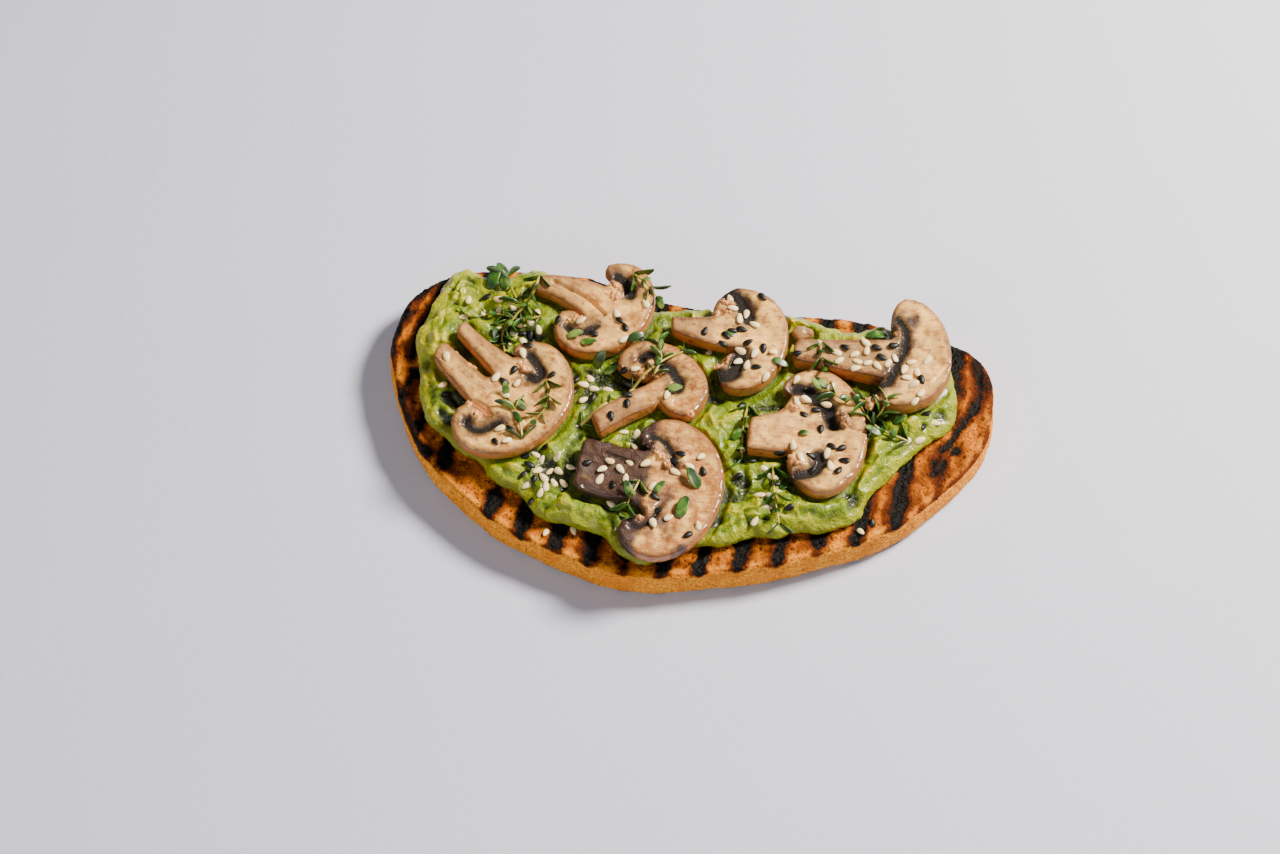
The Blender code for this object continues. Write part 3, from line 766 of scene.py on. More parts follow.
LOOKS = {
    "mushroom_left": Look(
        -28.3, 18.1, 20.7, 4.6, 5.7,
        (
            (1.4, 1.5, ((-3.6, 13.4), (-1.2, 12.9), (1.4, 12.0), (2.9, 10.4), (2.6, 8.6),
                        (0.9, 7.9))),
            (0.9, 1.3, ((-4.6, -15.4), (-3.4, -16.7), (0.1, -16.2), (2.0, -14.2), (3.0, -11.6),
                        (3.6, -9.8))),
        ),
        (
            Lump(-1.6, 8.9, 1.5, 1.1, 30, 0.2), Lump(-3.9, 9.8, 1.7, 0.8, 60, 0.3),
            Lump(-3.2, -12.2, 1.9, 1.3, 20, 0.2), Lump(-7.4, -10.6, 1.2, 0.9, 0, 0.0),
            Lump(-22.0, 0.9, 1.2, 1.0, 0, 0.1), Lump(-15.4, 0.2, 1.6, 0.9, 0, 0.0),
        ),
        ((0.35, 0.35, ((9.8, -4.6), (11.6, -5.8), (12.6, -10.0))),),
        ((4.8, -8.4, 2.6, 0.6), (-3.4, -14.2, 2.4, 0.7), (3.5, 8.0, 2.5, 0.4)),
        glassy=0.35,
    ),
    "mushroom_back_left": Look(
        -30.1, 15.4, 18.5, 5.0, 3.2,
        (
            (1.5, 1.3, ((-3.2, 11.2), (-1.2, 11.5), (1.3, 10.9), (3.2, 10.1), (4.3, 8.9))),
            (0.9, 1.3, ((-3.4, -12.3), (-1.6, -12.7), (1.3, -11.4), (2.4, -9.1), (3.4, -6.6))),
        ),
        (
            Lump(-1.6, 8.6, 1.9, 1.3, 0, 0.1), Lump(0.9, 5.6, 1.7, 1.4, 0, 0.0),
            Lump(-1.9, -8.3, 2.0, 1.1, 10, 0.3), Lump(-4.6, -10.0, 1.4, 1.0, 0, 0.2),
        ),
        ((0.55, 1.1, ((-17.0, -2.6), (-8.7, -1.2), (-3.2, -0.9), (2.6, -1.7))),),
        ((1.1, -17.6, 1.7, 0.5), (-3.0, -11.0, 2.2, 0.5)),
        browning=0.42,
        glassy=0.5,
    ),
    "mushroom_centre": Look(
        32.2, 16.0, 19.4, 5.0, 2.6,
        (
            (1.2, 1.4, ((0.3, 12.8), (1.2, 14.0), (3.2, 13.8), (4.8, 12.6), (5.4, 10.6))),
            (1.5, 1.2, ((5.4, 8.0), (6.9, 5.6), (7.4, 3.2), (7.4, 1.0), (6.2, -0.8))),
        ),
        (
            Lump(2.2, 9.6, 1.8, 1.2, 40, 0.3), Lump(3.0, 6.2, 1.6, 1.1, 0, 0.2),
            Lump(-1.4, 8.2, 2.0, 1.4, 90, 0.2), Lump(6.4, -10.6, 1.3, 1.1, 0, 0.2),
            Lump(3.4, -5.4, 1.2, 0.7, 60, 0.1),
        ),
        ((0.4, 0.6, ((-5.5, 12.8), (-2.0, 13.6), (0.2, 16.0))),),
        ((-4.0, 14.0, 4.0, 0.45), (6.0, 8.0, 3.0, 0.4)),
        browning=0.6,
        glassy=0.8,
    ),
    "mushroom_back": Look(
        9.5, 15.3, 15.3, 5.4, 5.7,
        (
            (2.0, 1.4, ((-3.4, 12.4), (-0.8, 11.4), (0.8, 8.8), (2.2, 6.4), (2.8, 4.4))),
            (2.1, 1.5, ((0.2, -8.6), (-0.9, -11.8), (-1.6, -14.4), (-3.4, -15.8), (-6.0, -15.6))),
        ),
        (
            Lump(-2.6, 9.2, 1.7, 1.2, 20, 0.5), Lump(-3.3, 6.6, 1.4, 1.1, 0, 0.3),
            Lump(-4.9, 9.8, 1.3, 0.9, 80, 0.4), Lump(-6.8, 5.6, 1.4, 0.9, 60, 0.1),
            Lump(-3.6, -11.0, 1.6, 0.7, 70, 0.5), Lump(-6.2, -12.6, 1.7, 0.8, 10, 0.2),
        ),
        (),
        ((3.6, 8.0, 4.0, 0.7), (3.5, 2.8, 2.6, 0.6), (1.8, -11.0, 3.4, 0.7),
         (-5.6, -17.0, 2.4, 0.5), (2.8, -7.4, 3.0, 0.5), (-0.6, -16.2, 2.6, 0.6),
         (-1.6, 13.4, 2.4, 0.6)),
        browning=0.25,
        glassy=0.85,
    ),
    "mushroom_back_right": Look(
        2.1, 16.3, 23.0, 6.4, 3.0,
        (
            (1.15, 1.1, ((-1.6, 14.8), (0.7, 12.4), (1.5, 9.0), (1.3, 4.0), (0.0, -0.6),
                        (-0.9, -4.4), (-2.6, -8.0), (-5.6, -10.4))),
        ),
        (
            Lump(-0.9, 9.8, 1.0, 0.8, 0, 0.2), Lump(-7.0, -15.6, 2.6, 1.5, 95, 0.1),
            Lump(-4.4, -13.4, 1.2, 0.9, 0, 0.2),
        ),
        ((0.5, 0.7, ((-4.9, -12.8), (-4.7, -16.0), (-4.2, -19.0))),
         (0.3, 0.35, ((10.7, -7.3), (14.0, -1.7), (15.4, 0.4)))),
        ((3.2, 14.6, 3.6, 0.8), (3.0, 6.6, 3.4, 0.8), (-1.6, 11.0, 3.4, 0.6),
         (-1.8, 4.0, 3.6, 0.55), (-3.4, -3.0, 3.8, 0.6), (-5.2, -8.4, 3.4, 0.6),
         (3.4, 0.4, 3.0, 0.5)),
        browning=0.3,
        glassy=0.95,
    ),
    "mushroom_right": Look(
        4.3, 16.9, 23.6, 5.2, 9.7,
        (
            (2.1, 1.5, ((-5.4, 15.8), (-2.0, 15.2), (1.0, 13.0), (3.4, 10.8), (5.2, 7.6),
                        (6.4, 4.4))),
            (1.6, 1.5, ((2.3, -6.8), (3.4, -8.8), (2.2, -11.4), (0.0, -13.2), (-2.8, -14.2))),
        ),
        (
            Lump(9.0, 6.0, 3.0, 1.8, -60, 0.5), Lump(-3.4, 11.6, 1.7, 0.8, 20, 0.2),
            Lump(-5.6, 9.0, 2.2, 1.0, 0, 0.2), Lump(-5.2, -8.8, 1.6, 0.9, 70, 0.3),
            Lump(-3.2, -10.4, 1.2, 0.8, 0, 0.3),
        ),
        ((0.35, 0.8, ((11.4, 3.4), (13.6, 2.7), (17.4, 2.4))),
         (0.6, 0.6, ((-9.4, 8.2), (-5.4, 7.4), (-1.4, 6.8)))),
        ((8.4, 6.8, 4.4, 0.65), (3.6, 13.4, 2.6, 0.5), (4.6, -9.4, 2.6, 0.6),
         (6.0, 9.4, 3.2, 0.8), (-3.6, 14.8, 2.0, 0.7), (0.6, -9.4, 2.0, 0.7)),
        browning=0.35,
        glassy=0.15,
    ),
    "mushroom_front": Look(
        0.1, 18.7, 21.1, 4.6, 4.8,
        (
            (0.85, 1.1, ((-5.4, 13.6), (-2.4, 13.2), (0.4, 10.8), (2.2, 8.0), (3.0, 5.1))),
            (0.75, 1.2, ((-5.8, -16.6), (-3.6, -16.2), (-1.4, -14.2), (0.2, -11.7), (0.9, -9.1))),
        ),
        (
            Lump(-6.4, 11.4, 1.6, 1.1, 0, 0.1), Lump(-3.8, 9.6, 1.9, 1.2, -40, 0.2),
            Lump(-1.4, 7.4, 1.8, 1.1, -50, 0.2), Lump(0.8, 5.2, 1.6, 0.9, -50, 0.2),
            Lump(-4.4, -13.6, 1.7, 0.9, 20, 0.2), Lump(-1.9, -10.8, 1.1, 1.0, 0, 0.6),
        ),
        ((0.7, 1.2, ((-17.2, 5.4), (-13.5, 4.7), (-10.0, 4.0))),
         (0.5, 0.5, ((-22.0, -6.6), (-17.0, -7.6), (-12.0, -7.2)))),
        ((10.1, -21.4, 2.3, 0.9), (8.2, -22.4, 2.0, 0.6), (2.4, -4.7, 4.6, 0.6),
         (6.2, 1.6, 3.4, 0.35), (2.0, -13.2, 3.0, 0.6), (4.6, -16.4, 3.4, 0.6)),
        browning=0.7,
        stem_dark=1.0,
    ),
}


# A lump's thickness to its width, how much of it is sunk in, and how far one beside the
# slice hangs below its face.
LUMP_FLATNESS, LUMP_SINK, LUMP_DROP = 0.8, 0.3, 1.0
GILL_RIDGE = 1.0  # from one ridge of the gills' relief to the next
GILL_LINE = 0.5  # from one dark line of the gills to the next
UNDERSIDE = -0.97  # normals below this belong to a slice's underside


class Slice:
    """A slice's outline and its own (u, v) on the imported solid."""

    def __init__(self, node, look):
        self.outline = Outline(node)
        turn = math.radians(look.turn)
        self.ahead = np.array([math.cos(turn), math.sin(turn)])
        self.leftward = np.array([-self.ahead[1], self.ahead[0]])
        u = (self.outline.points @ self.ahead).max() - look.crown
        v = (self.outline.points @ self.leftward).max() - look.left
        self.middle = u * self.ahead + v * self.leftward
        bm = merged(node)
        self.shape = BVHTree.FromBMesh(bm)
        bm.free()

    def local(self, points):
        away = points[:, :2] - self.middle
        return np.stack([away @ self.ahead, away @ self.leftward, np.zeros(len(points))], axis=1)

    def world(self, u, v):
        return self.middle + u * self.ahead + v * self.leftward

    def top(self, u, v):
        """Height of the cut face at (u, v), or None beside the slice."""
        x, y = self.world(u, v) * MM
        hit = self.shape.ray_cast(Vector((x, y, 1.0)), DOWN)[0]
        return hit.z / MM if hit else None

    def lump(self, lump, turn):
        """Where a lump's unit ball goes; beside the slice it hangs a little below its face."""
        height = self.top(lump.u, lump.v)
        if height is None:
            height = max(self.top(0, 0) - LUMP_DROP, 0)
        thick = LUMP_FLATNESS * lump.wide
        place = Vector((*self.world(lump.u, lump.v), height + lump.lift - LUMP_SINK * thick)) * MM
        turned = Matrix.Rotation(math.radians(turn + lump.bearing), 4, "Z")
        size = Matrix.Diagonal((lump.long * MM, lump.wide * MM, thick * MM, 1.0))
        return Matrix.Translation(place) @ turned @ size


def band(points, lines):
    """How deep each point lies in a band round any of the lines, how far along, and its depth."""
    inside = np.full(len(points), -20.0)
    way, depth = np.zeros(len(points)), np.zeros(len(points))
    for half_width, deep, line in lines:
        curve = along(line, 0.2)
        index, distance = Nearest(curve).find(points)
        closer = half_width - distance > inside
        inside = np.where(closer, half_width - distance, inside)
        way = np.where(closer, 0.2 * index, way)
        depth = np.where(closer, deep, depth)
    return inside, way, depth


def mushroom_finish(colours):
    finish = Finish(
        "cooked_mushroom", Specular_IOR_Level=0.3, Subsurface_Weight=0.12, Subsurface_Scale=1.0,
        Subsurface_Radius=(0.003, 0.0016, 0.0009), Coat_Roughness=0.08,
    )
    edge, gill, skin = finish.layer("edge"), finish.layer("gill"), finish.layer("skin")
    veil, stain, way = finish.layer("veil"), finish.layer("stain"), finish.layer("way")
    browning, glassy = finish.layer("browning"), finish.layer("glassy")
    grain, blotch = finish.speckle(0.5, 4.0), finish.speckle(3.2, 4.0)
    fibres = finish.add(
        "ShaderNodeCombineXYZ", {}, {0: finish.layer("u") * 0.16, 1: finish.layer("v"), 2: 0.0}
    )
    streak = finish.add("ShaderNodeTexNoise", {}, {"Vector": fibres, "Scale": 1.7, "Detail": 4.0})

    patches = finish.speckle(8.0, 3.0)
    tone = (blotch - 0.5) * 2.8 + (streak - 0.5) * 1.2 + browning
    base = finish.blend(finish.step(0.35, 0.65, patches) * 0.45, colours.flesh, colours.translucent)
    base = finish.blend(finish.step(0.0, 1.05, tone) * 0.9, base, colours.cooked)
    base = finish.blend(glassy * finish.step(0.1, 0.5, streak), base, colours.translucent)
    seared = finish.step(2.4, 0.2, edge + (blotch - 0.5) * 5.0)
    base = finish.blend(seared * 0.85, base, colours.seared)
    rind = skin + (blotch - 0.5) * 0.5
    base = finish.blend(finish.step(0.2, 0.8, rind), base, colours.skin)
    base = finish.blend(finish.step(0.52, 0.75, blotch) * skin * 0.8, base, colours.scorched)
    specks = finish.step(0.62, 0.72, finish.speckle(1.6, 3.0))
    base = finish.blend(specks * 0.6, base, colours.seared)
    base = finish.blend(veil * finish.step(0.25, 0.6, grain), base, colours.veil)
    bruise = stain + (blotch - 0.5) * 0.8 * finish.step(0.0, 0.3, stain)
    base = finish.blend(finish.step(0.05, 0.95, bruise) * 0.96, base, colours.bruise)
    near = finish.step(-4.2, 0.6, gill + (blotch - 0.5) * 4.4)
    base = finish.blend(near * 0.85 * (1 - veil * 0.8), base, colours.bruise)
    lamella = finish.step(0.3, 0.7, (way * (math.tau / GILL_LINE)).calc("SINE") * 0.5 + 0.5)
    comb = finish.blend(lamella * 0.5, colours.gill, colours.gill_edge)
    inside = finish.step(-0.6, 0.5, gill + (grain - 0.5) * 1.2)
    base = finish.blend(inside * (1 - veil), base, comb)
    finish.set(
        Base_Color=base, Roughness=0.36 + grain * 0.25 + inside * 0.25,
        Coat_Weight=0.55 - inside * 0.45 - glassy * 0.15 - stain.calc("MINIMUM", 1.0) * 0.1,
    )
    finish.bump(grain * 0.6 + blotch * 0.5 + streak * 0.3 + lamella * inside * 0.3, 0.5, 0.8)
    return finish.material


def lump_cover(lumps, u, v):
    """1 on the lumps and 0 away from them."""
    cover = np.zeros(len(u))
    for lump in lumps:
        turn = math.radians(lump.bearing)
        du, dv = u - lump.u, v - lump.v
        lengthwise = (du * math.cos(turn) + dv * math.sin(turn)) / lump.long
        crosswise = (dv * math.cos(turn) - du * math.sin(turn)) / lump.wide
        cover = np.maximum(cover, smoothstep(1.15, 0.85, np.hypot(lengthwise, crosswise)))
    return cover


def stained(stains, points, u, v):
    """How stained each point is by the soft-edged spots of a look."""
    stain = np.zeros(len(points))
    for at_u, at_v, radius, strength in stains:
        distance = np.hypot(u - at_u, v - at_v) + 0.9 * noise(points, 2.6, 76)
        spot = strength * smoothstep(radius * 1.25, radius * 0.25, distance)
        stain = np.maximum(stain, spot)
    return stain


def dress_slice(node, look, settings, material):
    place = Slice(node, look)
    lumps = [place.lump(lump, look.turn) for lump in look.veil]
    mesh = fine_mesh(node, settings.face / MM, lumps)
    points, normals = points_of(mesh), normals_of(mesh)
    local = place.local(points)
    u, v = local[:, 0], local[:, 1]
    edge = place.outline.inward(points)

    flat = points[normals[:, 2] < UNDERSIDE]
    plane, *_ = np.linalg.lstsq(np.c_[flat[:, :2], np.ones(len(flat))], flat[:, 2], rcond=None)
    above = points[:, 2] - np.c_[points[:, :2], np.ones(len(points))] @ plane
    cut = smoothstep(0.5, 0.75, above / look.thickness) * smoothstep(0.05, 0.5, edge)
    veil = lump_cover(look.veil, u, v) * smoothstep(0.5, 0.7, above / look.thickness)

    gill, way, deep = band(warped(local, 2.5, 0.35, 71), look.gills)
    slot, _, slot_deep = band(local, look.cuts)
    level = look.thickness - 0.15 + 0.35 * smoothstep(0.2, 1.2, edge)
    level -= 0.55 * smoothstep(2.0, 7.0, edge)
    bare = cut * (1 - veil)
    ridges = 0.09 * smoothstep(0.0, 0.4, gill) * np.sin(math.tau * way / GILL_RIDGE)
    swell = 0.34 * fractal(points, 7.0, 72, 2) + 0.16 * noise(warped(points, 4.0, 1.0, 78), 2.6, 79)
    height = mix(above, level, bare)
    height += bare * (ridges - 0.75 * deep * smoothstep(-1.1, 0.8, gill))
    height -= cut * slot_deep * smoothstep(-0.5, 0.25, slot)
    height += cut * (swell + 0.10 * fractal(local * (0.3, 1, 1), 1.6, 73))
    fibrous = fractal(warped(local * (0.35, 1, 1), 3.0, 0.6, 83), 2.1, 84, 2)
    height += cut * (0.08 + 0.22 * look.stem_dark) * smoothstep(1.0, -2.0, u + look.neck) * fibrous
    moved = points.copy()
    moved[:, 2] += height - above
    ragged = 0.95 * veil * fractal(points, 1.2, 75) + 0.16 * (1 - cut) * fractal(points, 3.0, 74)
    ragged *= smoothstep(0.2, 1.2, above)
    moved += normals * ragged[:, None]
    set_points(mesh, moved)

    stain = stained(look.stains, points, u, v)
    stem = smoothstep(3.5, -1.5, u + look.neck + 1.5 * noise(points, 5.0, 77)) * look.stem_dark
    stain = np.maximum(stain, stem * (1.1 + 0.35 * noise(local * (0.4, 1, 1), 2.4, 80)))
    paint(
        mesh, edge=edge, gill=np.clip(gill, -6, 6), skin=1 - cut, veil=veil, stain=stain,
        way=way, u=u, v=v, browning=np.full(len(points), look.browning),
        glassy=look.glassy * smoothstep(1.0, -5.0, u + look.neck + 2.0 * noise(points, 5.0, 85)),
    )
    thin_out(mesh, normals[:, 2] < UNDERSIDE)
    mesh.materials.append(material)
    return finished(node + "_slice", mesh, [node])


def dress_scrap(settings, material):
    mesh = fine_mesh("mushroom_scrap", settings.face / MM)
    points, normals = points_of(mesh), normals_of(mesh)
    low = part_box("mushroom_scrap")[0].z / MM
    lift = smoothstep(low + 0.2, low + 1.0, points[:, 2])
    moved = points + normals * (lift * 0.22 * fractal(points, 1.8, 81))[:, None]
    set_points(mesh, moved)
    zero = np.zeros(len(points))
    paint(
        mesh, edge=zero + 3, gill=zero - 6, skin=zero, veil=zero, stain=zero, way=zero,
        u=points[:, 0], v=points[:, 1], browning=zero + 0.5, glassy=zero + 1,
    )
    mesh.materials.append(material)
    return finished("mushroom_stem_scrap", mesh, ["mushroom_scrap"])


# --------------------------------------------------------------------- seeds and thyme


class Heap(NamedTuple):
    """Seeds that fell together."""

    x: float
    y: float
    spread_x: float
    spread_y: float
    white: int
    black: int


HEAPS = (
    Heap(-53, 23, 7, 6, 9, 5), Heap(-62, 31, 6, 5, 3, 1), Heap(-50, 4, 9, 9, 5, 5),
    Heap(-49, -17, 5, 4, 2, 3), Heap(-35, -25, 5, 5, 11, 2), Heap(-36, -28, 8, 5, 2, 3),
    Heap(-30, 27, 12, 8, 4, 3), Heap(-15, 6, 6, 9, 6, 3), Heap(-29, 4, 4, 6, 4, 3),
    Heap(14, 35, 7, 7, 6, 5), Heap(17, 23, 6, 4, 4, 3), Heap(50, 30, 7, 4, 9, 4),
    Heap(62, 27, 7, 6, 9, 2), Heap(68, 20, 6, 5, 2, 1), Heap(40, 7, 6, 8, 4, 4),
    Heap(46, -7, 4, 5, 2, 5), Heap(37, -9, 5, 5, 3, 1), Heap(-12, -24, 8, 5, 9, 2),
    Heap(6, -17, 6, 6, 4, 3), Heap(2, -33, 8, 7, 3, 3), Heap(27, -22, 8, 6, 5, 4),
    Heap(20, 1, 6, 6, 1, 2), Heap(70, 11, 8, 6, 3, 1), Heap(-16, -9, 8, 4, 2, 2),
    Heap(5, 27, 4, 3, 1, 1), Heap(-20, -41, 14, 2, 2, 0), Heap(-72, 5, 4, 12, 2, 1),
    Heap(30, 24, 6, 6, 2, 2), Heap(-70, 30, 5, 8, 2, 0), Heap(52, -22, 9, 4, 1, 1),
)
HEAP_DENSITY = 0.62  # a heap's seeds lie this much closer together than its spread
SEED_ROOM, SEED_TRIES = 2.6, 30
SEED_SIZE = (3.3 * MM, 1.9 * MM, 1.05 * MM)
SEED_LIFT, LEAF_LIFT = 0.35 * MM, 0.5 * MM
LEVELLING = 0.7  # how much flatter than the food under them things come to lie
DROP_HEIGHT = 0.2  # in metres, above everything on the toast
MOST_OVER, GIVE = 0.6, 0.9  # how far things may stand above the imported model, and how softly

# Loose leaves: x, y, bearing, length.
LEAVES = (
    (-62.6, 42.6, 118, 8.6), (-66.5, 36.0, 75, 8.0), (-61.5, 35.5, 105, 6.0),
    (-38.5, 20.0, 20, 5.4), (-34.0, 18.6, 10, 5.2), (-20.0, 22.0, 35, 5.6),
    (-28.5, 12.5, 60, 7.4), (-25.5, 12.0, 30, 5.4), (-5.5, 6.5, 15, 5.4),
    (24.5, 23.0, -10, 5.4), (51.0, 38.5, 10, 7.0), (36.0, -0.5, 0, 3.6),
    (5.8, -35.0, 80, 7.6), (10.2, -24.0, 130, 7.2), (-2.6, -28.0, 60, 4.8),
    (-9.0, -31.0, 120, 5.4), (-12.0, -34.6, 10, 4.6), (17.4, -4.8, 70, 6.4),
    (33.6, -18.6, 60, 5.4), (-45.5, -7.0, 150, 4.4), (42.5, 16.5, 150, 4.8),
    (-68.5, 24.5, 10, 4.6), (-57.5, 14.5, 80, 5.4), (-60.0, 17.0, 110, 5.2),
    (63.5, 9.8, 40, 5.0), (55.4, 5.0, -20, 5.6), (9.0, 30.5, -20, 3.8),
)


class Sprig(NamedTuple):
    """A bit of thyme that lies on the food."""

    route: tuple
    leaf: float  # length of a leaf
    apart: float  # from one pair of leaves to the next
    lift: float = 0.8  # how far its middle stands up
    thickness: float = 0.45  # of the stem, at its root


SPRIGS = (
    Sprig(((-51.0, 40.5), (-52.2, 33.5), (-56.2, 25.5), (-59.5, 19.0)), 4.6, 3.4, 1.2, 0.6),
    Sprig(((-48.0, 27.5), (-54.0, 25.6), (-61.0, 26.4), (-70.0, 24.0)), 3.8, 2.6, 0.9),
    Sprig(((-56.0, 31.0), (-60.0, 37.0), (-62.0, 41.0)), 5.4, 4.0, 0.9),
    Sprig(((-58.0, 25.0), (-58.6, 19.0), (-56.6, 13.4)), 4.8, 3.0, 0.8),
    Sprig(((-44.6, -17.0), (-46.6, -11.5), (-49.6, -6.6), (-52.0, -3.4)), 5.0, 4.6, 1.0),
    Sprig(((-41.4, 3.6), (-39.6, -1.5), (-40.2, -6.4), (-42.0, -10.0)), 4.4, 2.9, 0.9),
    Sprig(((-28.6, -7.0), (-22.4, -0.6), (-15.4, 6.6), (-7.4, 16.6), (-2.6, 20.6)), 3.8, 8.5, 1.1,
          0.7),
    Sprig(((-9.6, 11.0), (-8.6, 17.0), (-10.4, 22.6)), 4.0, 2.8, 1.0),
    Sprig(((-22.4, 45.6), (-18.6, 43.0), (-14.0, 38.6)), 5.4, 3.2, 0.9),
    Sprig(((38.2, 31.4), (38.6, 27.0), (40.2, 23.0)), 4.4, 2.8, 0.7),
    Sprig(((54.4, 12.6), (47.6, 12.8), (43.0, 15.0), (40.6, 15.6)), 5.0, 4.8, 1.0),
    Sprig(((53.8, 14.0), (51.8, 17.0), (49.4, 18.8)), 5.0, 2.6, 0.8),
    Sprig(((68.6, 4.6), (62.6, 5.6), (56.4, 7.8), (53.0, 11.6)), 5.4, 3.2, 1.2),
    Sprig(((57.0, 8.0), (60.0, 12.0), (60.6, 14.6)), 4.8, 2.6, 1.2),
    Sprig(((19.6, 8.0), (19.4, 3.0), (19.6, -2.0), (20.8, -9.6)), 5.2, 4.4, 1.0),
    Sprig(((30.4, -12.0), (31.2, -17.0), (32.4, -22.0), (35.0, -30.0)), 4.8, 3.8, 1.0),
    Sprig(((-7.6, -25.0), (-8.6, -29.0), (-9.6, -33.0)), 4.6, 3.4, 0.6),
)
LEAF_GROWTH = 1.2  # the sprigs' leaves against their lengths above
LEAF_TILT = math.radians(-38)
STEM_STEP, STEM_TAPER = 0.9 * MM, 0.55
STEM_REST = 0.3  # a stem's middle line above the food
ARCH = 0.8  # share of a sprig's lift that its middle gets
SMOOTHING = 3  # points to each side that a stem's height is evened over


def pod(graph, long, wide, thick, taper, bend, fold):
    """A closed seed or leaf of a few dozen faces, with its stalk end at x = 0."""
    ball = graph.add("GeometryNodeMeshUVSphere", {}, {"Segments": 8, "Rings": 6, "Radius": 1.0})
    place = graph.add("GeometryNodeInputPosition", {}, {})
    axes = [graph.add("ShaderNodeSeparateXYZ", {}, {0: place}, output=i) for i in range(3)]
    side, up, ahead = axes
    half = side * (1.0 - ahead * taper) * (wide / 2)
    height = up * (thick / 2) + side.calc("ABSOLUTE") * fold - ahead * ahead * bend
    moved = graph.add(
        "ShaderNodeCombineXYZ", {}, {0: (ahead + 1.0) * (long / 2), 1: half, 2: height}
    )
    return graph.add("GeometryNodeSetPosition", {}, {"Geometry": ball, "Position": moved})


class GeometryGraph(Graph):
    """A geometry tree that turns a mesh of points or routes into a plain mesh."""

    def __init__(self, name):
        tree = bpy.data.node_groups.new(name, "GeometryNodeTree")
        super().__init__(tree)
        tree.interface.new_socket("Geometry", in_out="INPUT", socket_type="NodeSocketGeometry")
        tree.interface.new_socket("Geometry", in_out="OUTPUT", socket_type="NodeSocketGeometry")
        self.group_input = tree.nodes.new("NodeGroupInput")
        self.group_output = tree.nodes.new("NodeGroupOutput")
        self.source = Wire(self, self.group_input.outputs[0])

    def input(self, name, kind):
        """A named input of the tree."""
        self.tree.interface.new_socket(name, in_out="INPUT", socket_type=kind)
        return Wire(self, self.group_input.outputs[name])

    def stored(self, name):
        return self.add(
            "GeometryNodeInputNamedAttribute", {"data_type": "FLOAT"}, {"Name": name}
        )

    def turn(self, axis, angle):
        return self.add("FunctionNodeAxisAngleToRotation", {}, {"Axis": axis, "Angle": angle})

    def then(self, rotation, extra):
        """A rotation and then an extra one about its own axes."""
        return self.add(
            "FunctionNodeRotateRotation", {"rotation_space": "LOCAL"},
            {"Rotation": rotation, "Rotate By": extra},
        )

    def transformed(self, geometry, **change):
        return self.add("GeometryNodeTransform", {}, {"Geometry": geometry, **change})

    def resampled(self, curve, spacing):
        return self.add(
            "GeometryNodeResampleCurve", {"mode": "LENGTH"}, {"Curve": curve, "Length": spacing}
        )

    def random(self, low, high, seed):
        return self.add(
            "FunctionNodeRandomValue", {"data_type": "FLOAT"}, {2: low, 3: high, "Seed": seed},
            output=1,
        )

    def join(self, *parts):
        node = self.tree.nodes.new("GeometryNodeJoinGeometry")
        for part in parts:
            self.tree.links.new(part.socket, node.inputs[0])
        return Wire(self, node.outputs[0])

    def result(self, geometry, material):
        real = self.add("GeometryNodeRealizeInstances", {}, {"Geometry": geometry})
        coloured = self.add("GeometryNodeSetMaterial", {}, {"Geometry": real, "Material": material})
        self.tree.links.new(coloured.socket, self.group_output.inputs[0])

    def run(self, mesh, **inputs):
        """The plain mesh that the tree makes of a mesh and its named inputs."""
        obj = new_object(mesh.name + "_source", mesh)
        modifier = obj.modifiers.new("Nodes", "NODES")
        modifier.node_group = self.tree
        for item in self.tree.interface.items_tree:
            if item.in_out == "INPUT" and item.name in inputs:
                modifier[item.identifier] = inputs[item.name]
        result = plain_mesh(obj, mesh.name)
        result.materials.clear()
        result.materials.append(inputs["Material"])
        result.polygons.foreach_set("material_index", [0] * len(result.polygons))
        return result


def scatter_graph(name, shape):
    """Drops a copy of the shape on the food at every point of a mesh."""
    graph = GeometryGraph(name)
    food = graph.input("Food", "NodeSocketObject")
    material = graph.input("Material", "NodeSocketMaterial")
    lift = graph.input("Lift", "NodeSocketFloat")
    surface = graph.add("GeometryNodeObjectInfo", {}, {"Object": food}, output="Geometry")
    down = {"Target Geometry": surface, "Ray Direction": DOWN, "Ray Length": 1.0}
    hit = graph.add("GeometryNodeRaycast", {}, down, output="Hit Position")
    normal = Wire(graph, hit.socket.node.outputs["Hit Normal"])
    upright = graph.add(
        "ShaderNodeVectorMath", {"operation": "ADD"}, {0: normal, 1: LEVELLING * UP}
    )
    raised = graph.add(
        "ShaderNodeVectorMath", {"operation": "ADD"},
        {0: graph.add("ShaderNodeCombineXYZ", {}, {2: lift}), 1: hit},
    )
    dropped = graph.add(
        "GeometryNodeSetPosition", {}, {"Geometry": graph.source, "Position": raised}
    )
    lean = graph.add("FunctionNodeAlignRotationToVector", {"axis": "Z"}, {"Vector": upright})
    facing = graph.then(lean, graph.turn(UP, graph.stored("yaw")))
    pose = graph.then(facing, graph.turn((0.0, 1.0, 0.0), graph.stored("tip")))
    copies = graph.add(
        "GeometryNodeInstanceOnPoints", {},
        {
            "Points": dropped, "Instance": shape(graph), "Rotation": pose,
            "Scale": graph.stored("size"),
        },
    )
    graph.result(copies, material)
    return graph


def centred_seed(graph):
    seed = pod(graph, *SEED_SIZE, 0.32, 0.0, 0.0)
    return graph.transformed(seed, Translation=(-SEED_SIZE[0] / 2, 0.0, 0.0))


def unit_leaf(graph):
    """A leaf one metre long, to be scaled to its true size."""
    return pod(graph, 1.0, 0.5, 0.075, 0.14, 0.05, 0.07)


def points_mesh(name, places, **layers):
    mesh = bpy.data.meshes.new(name)
    mesh.from_pydata([(x * MM, y * MM, DROP_HEIGHT) for x, y in places], [], [])
    paint(mesh, **layers)
    return mesh


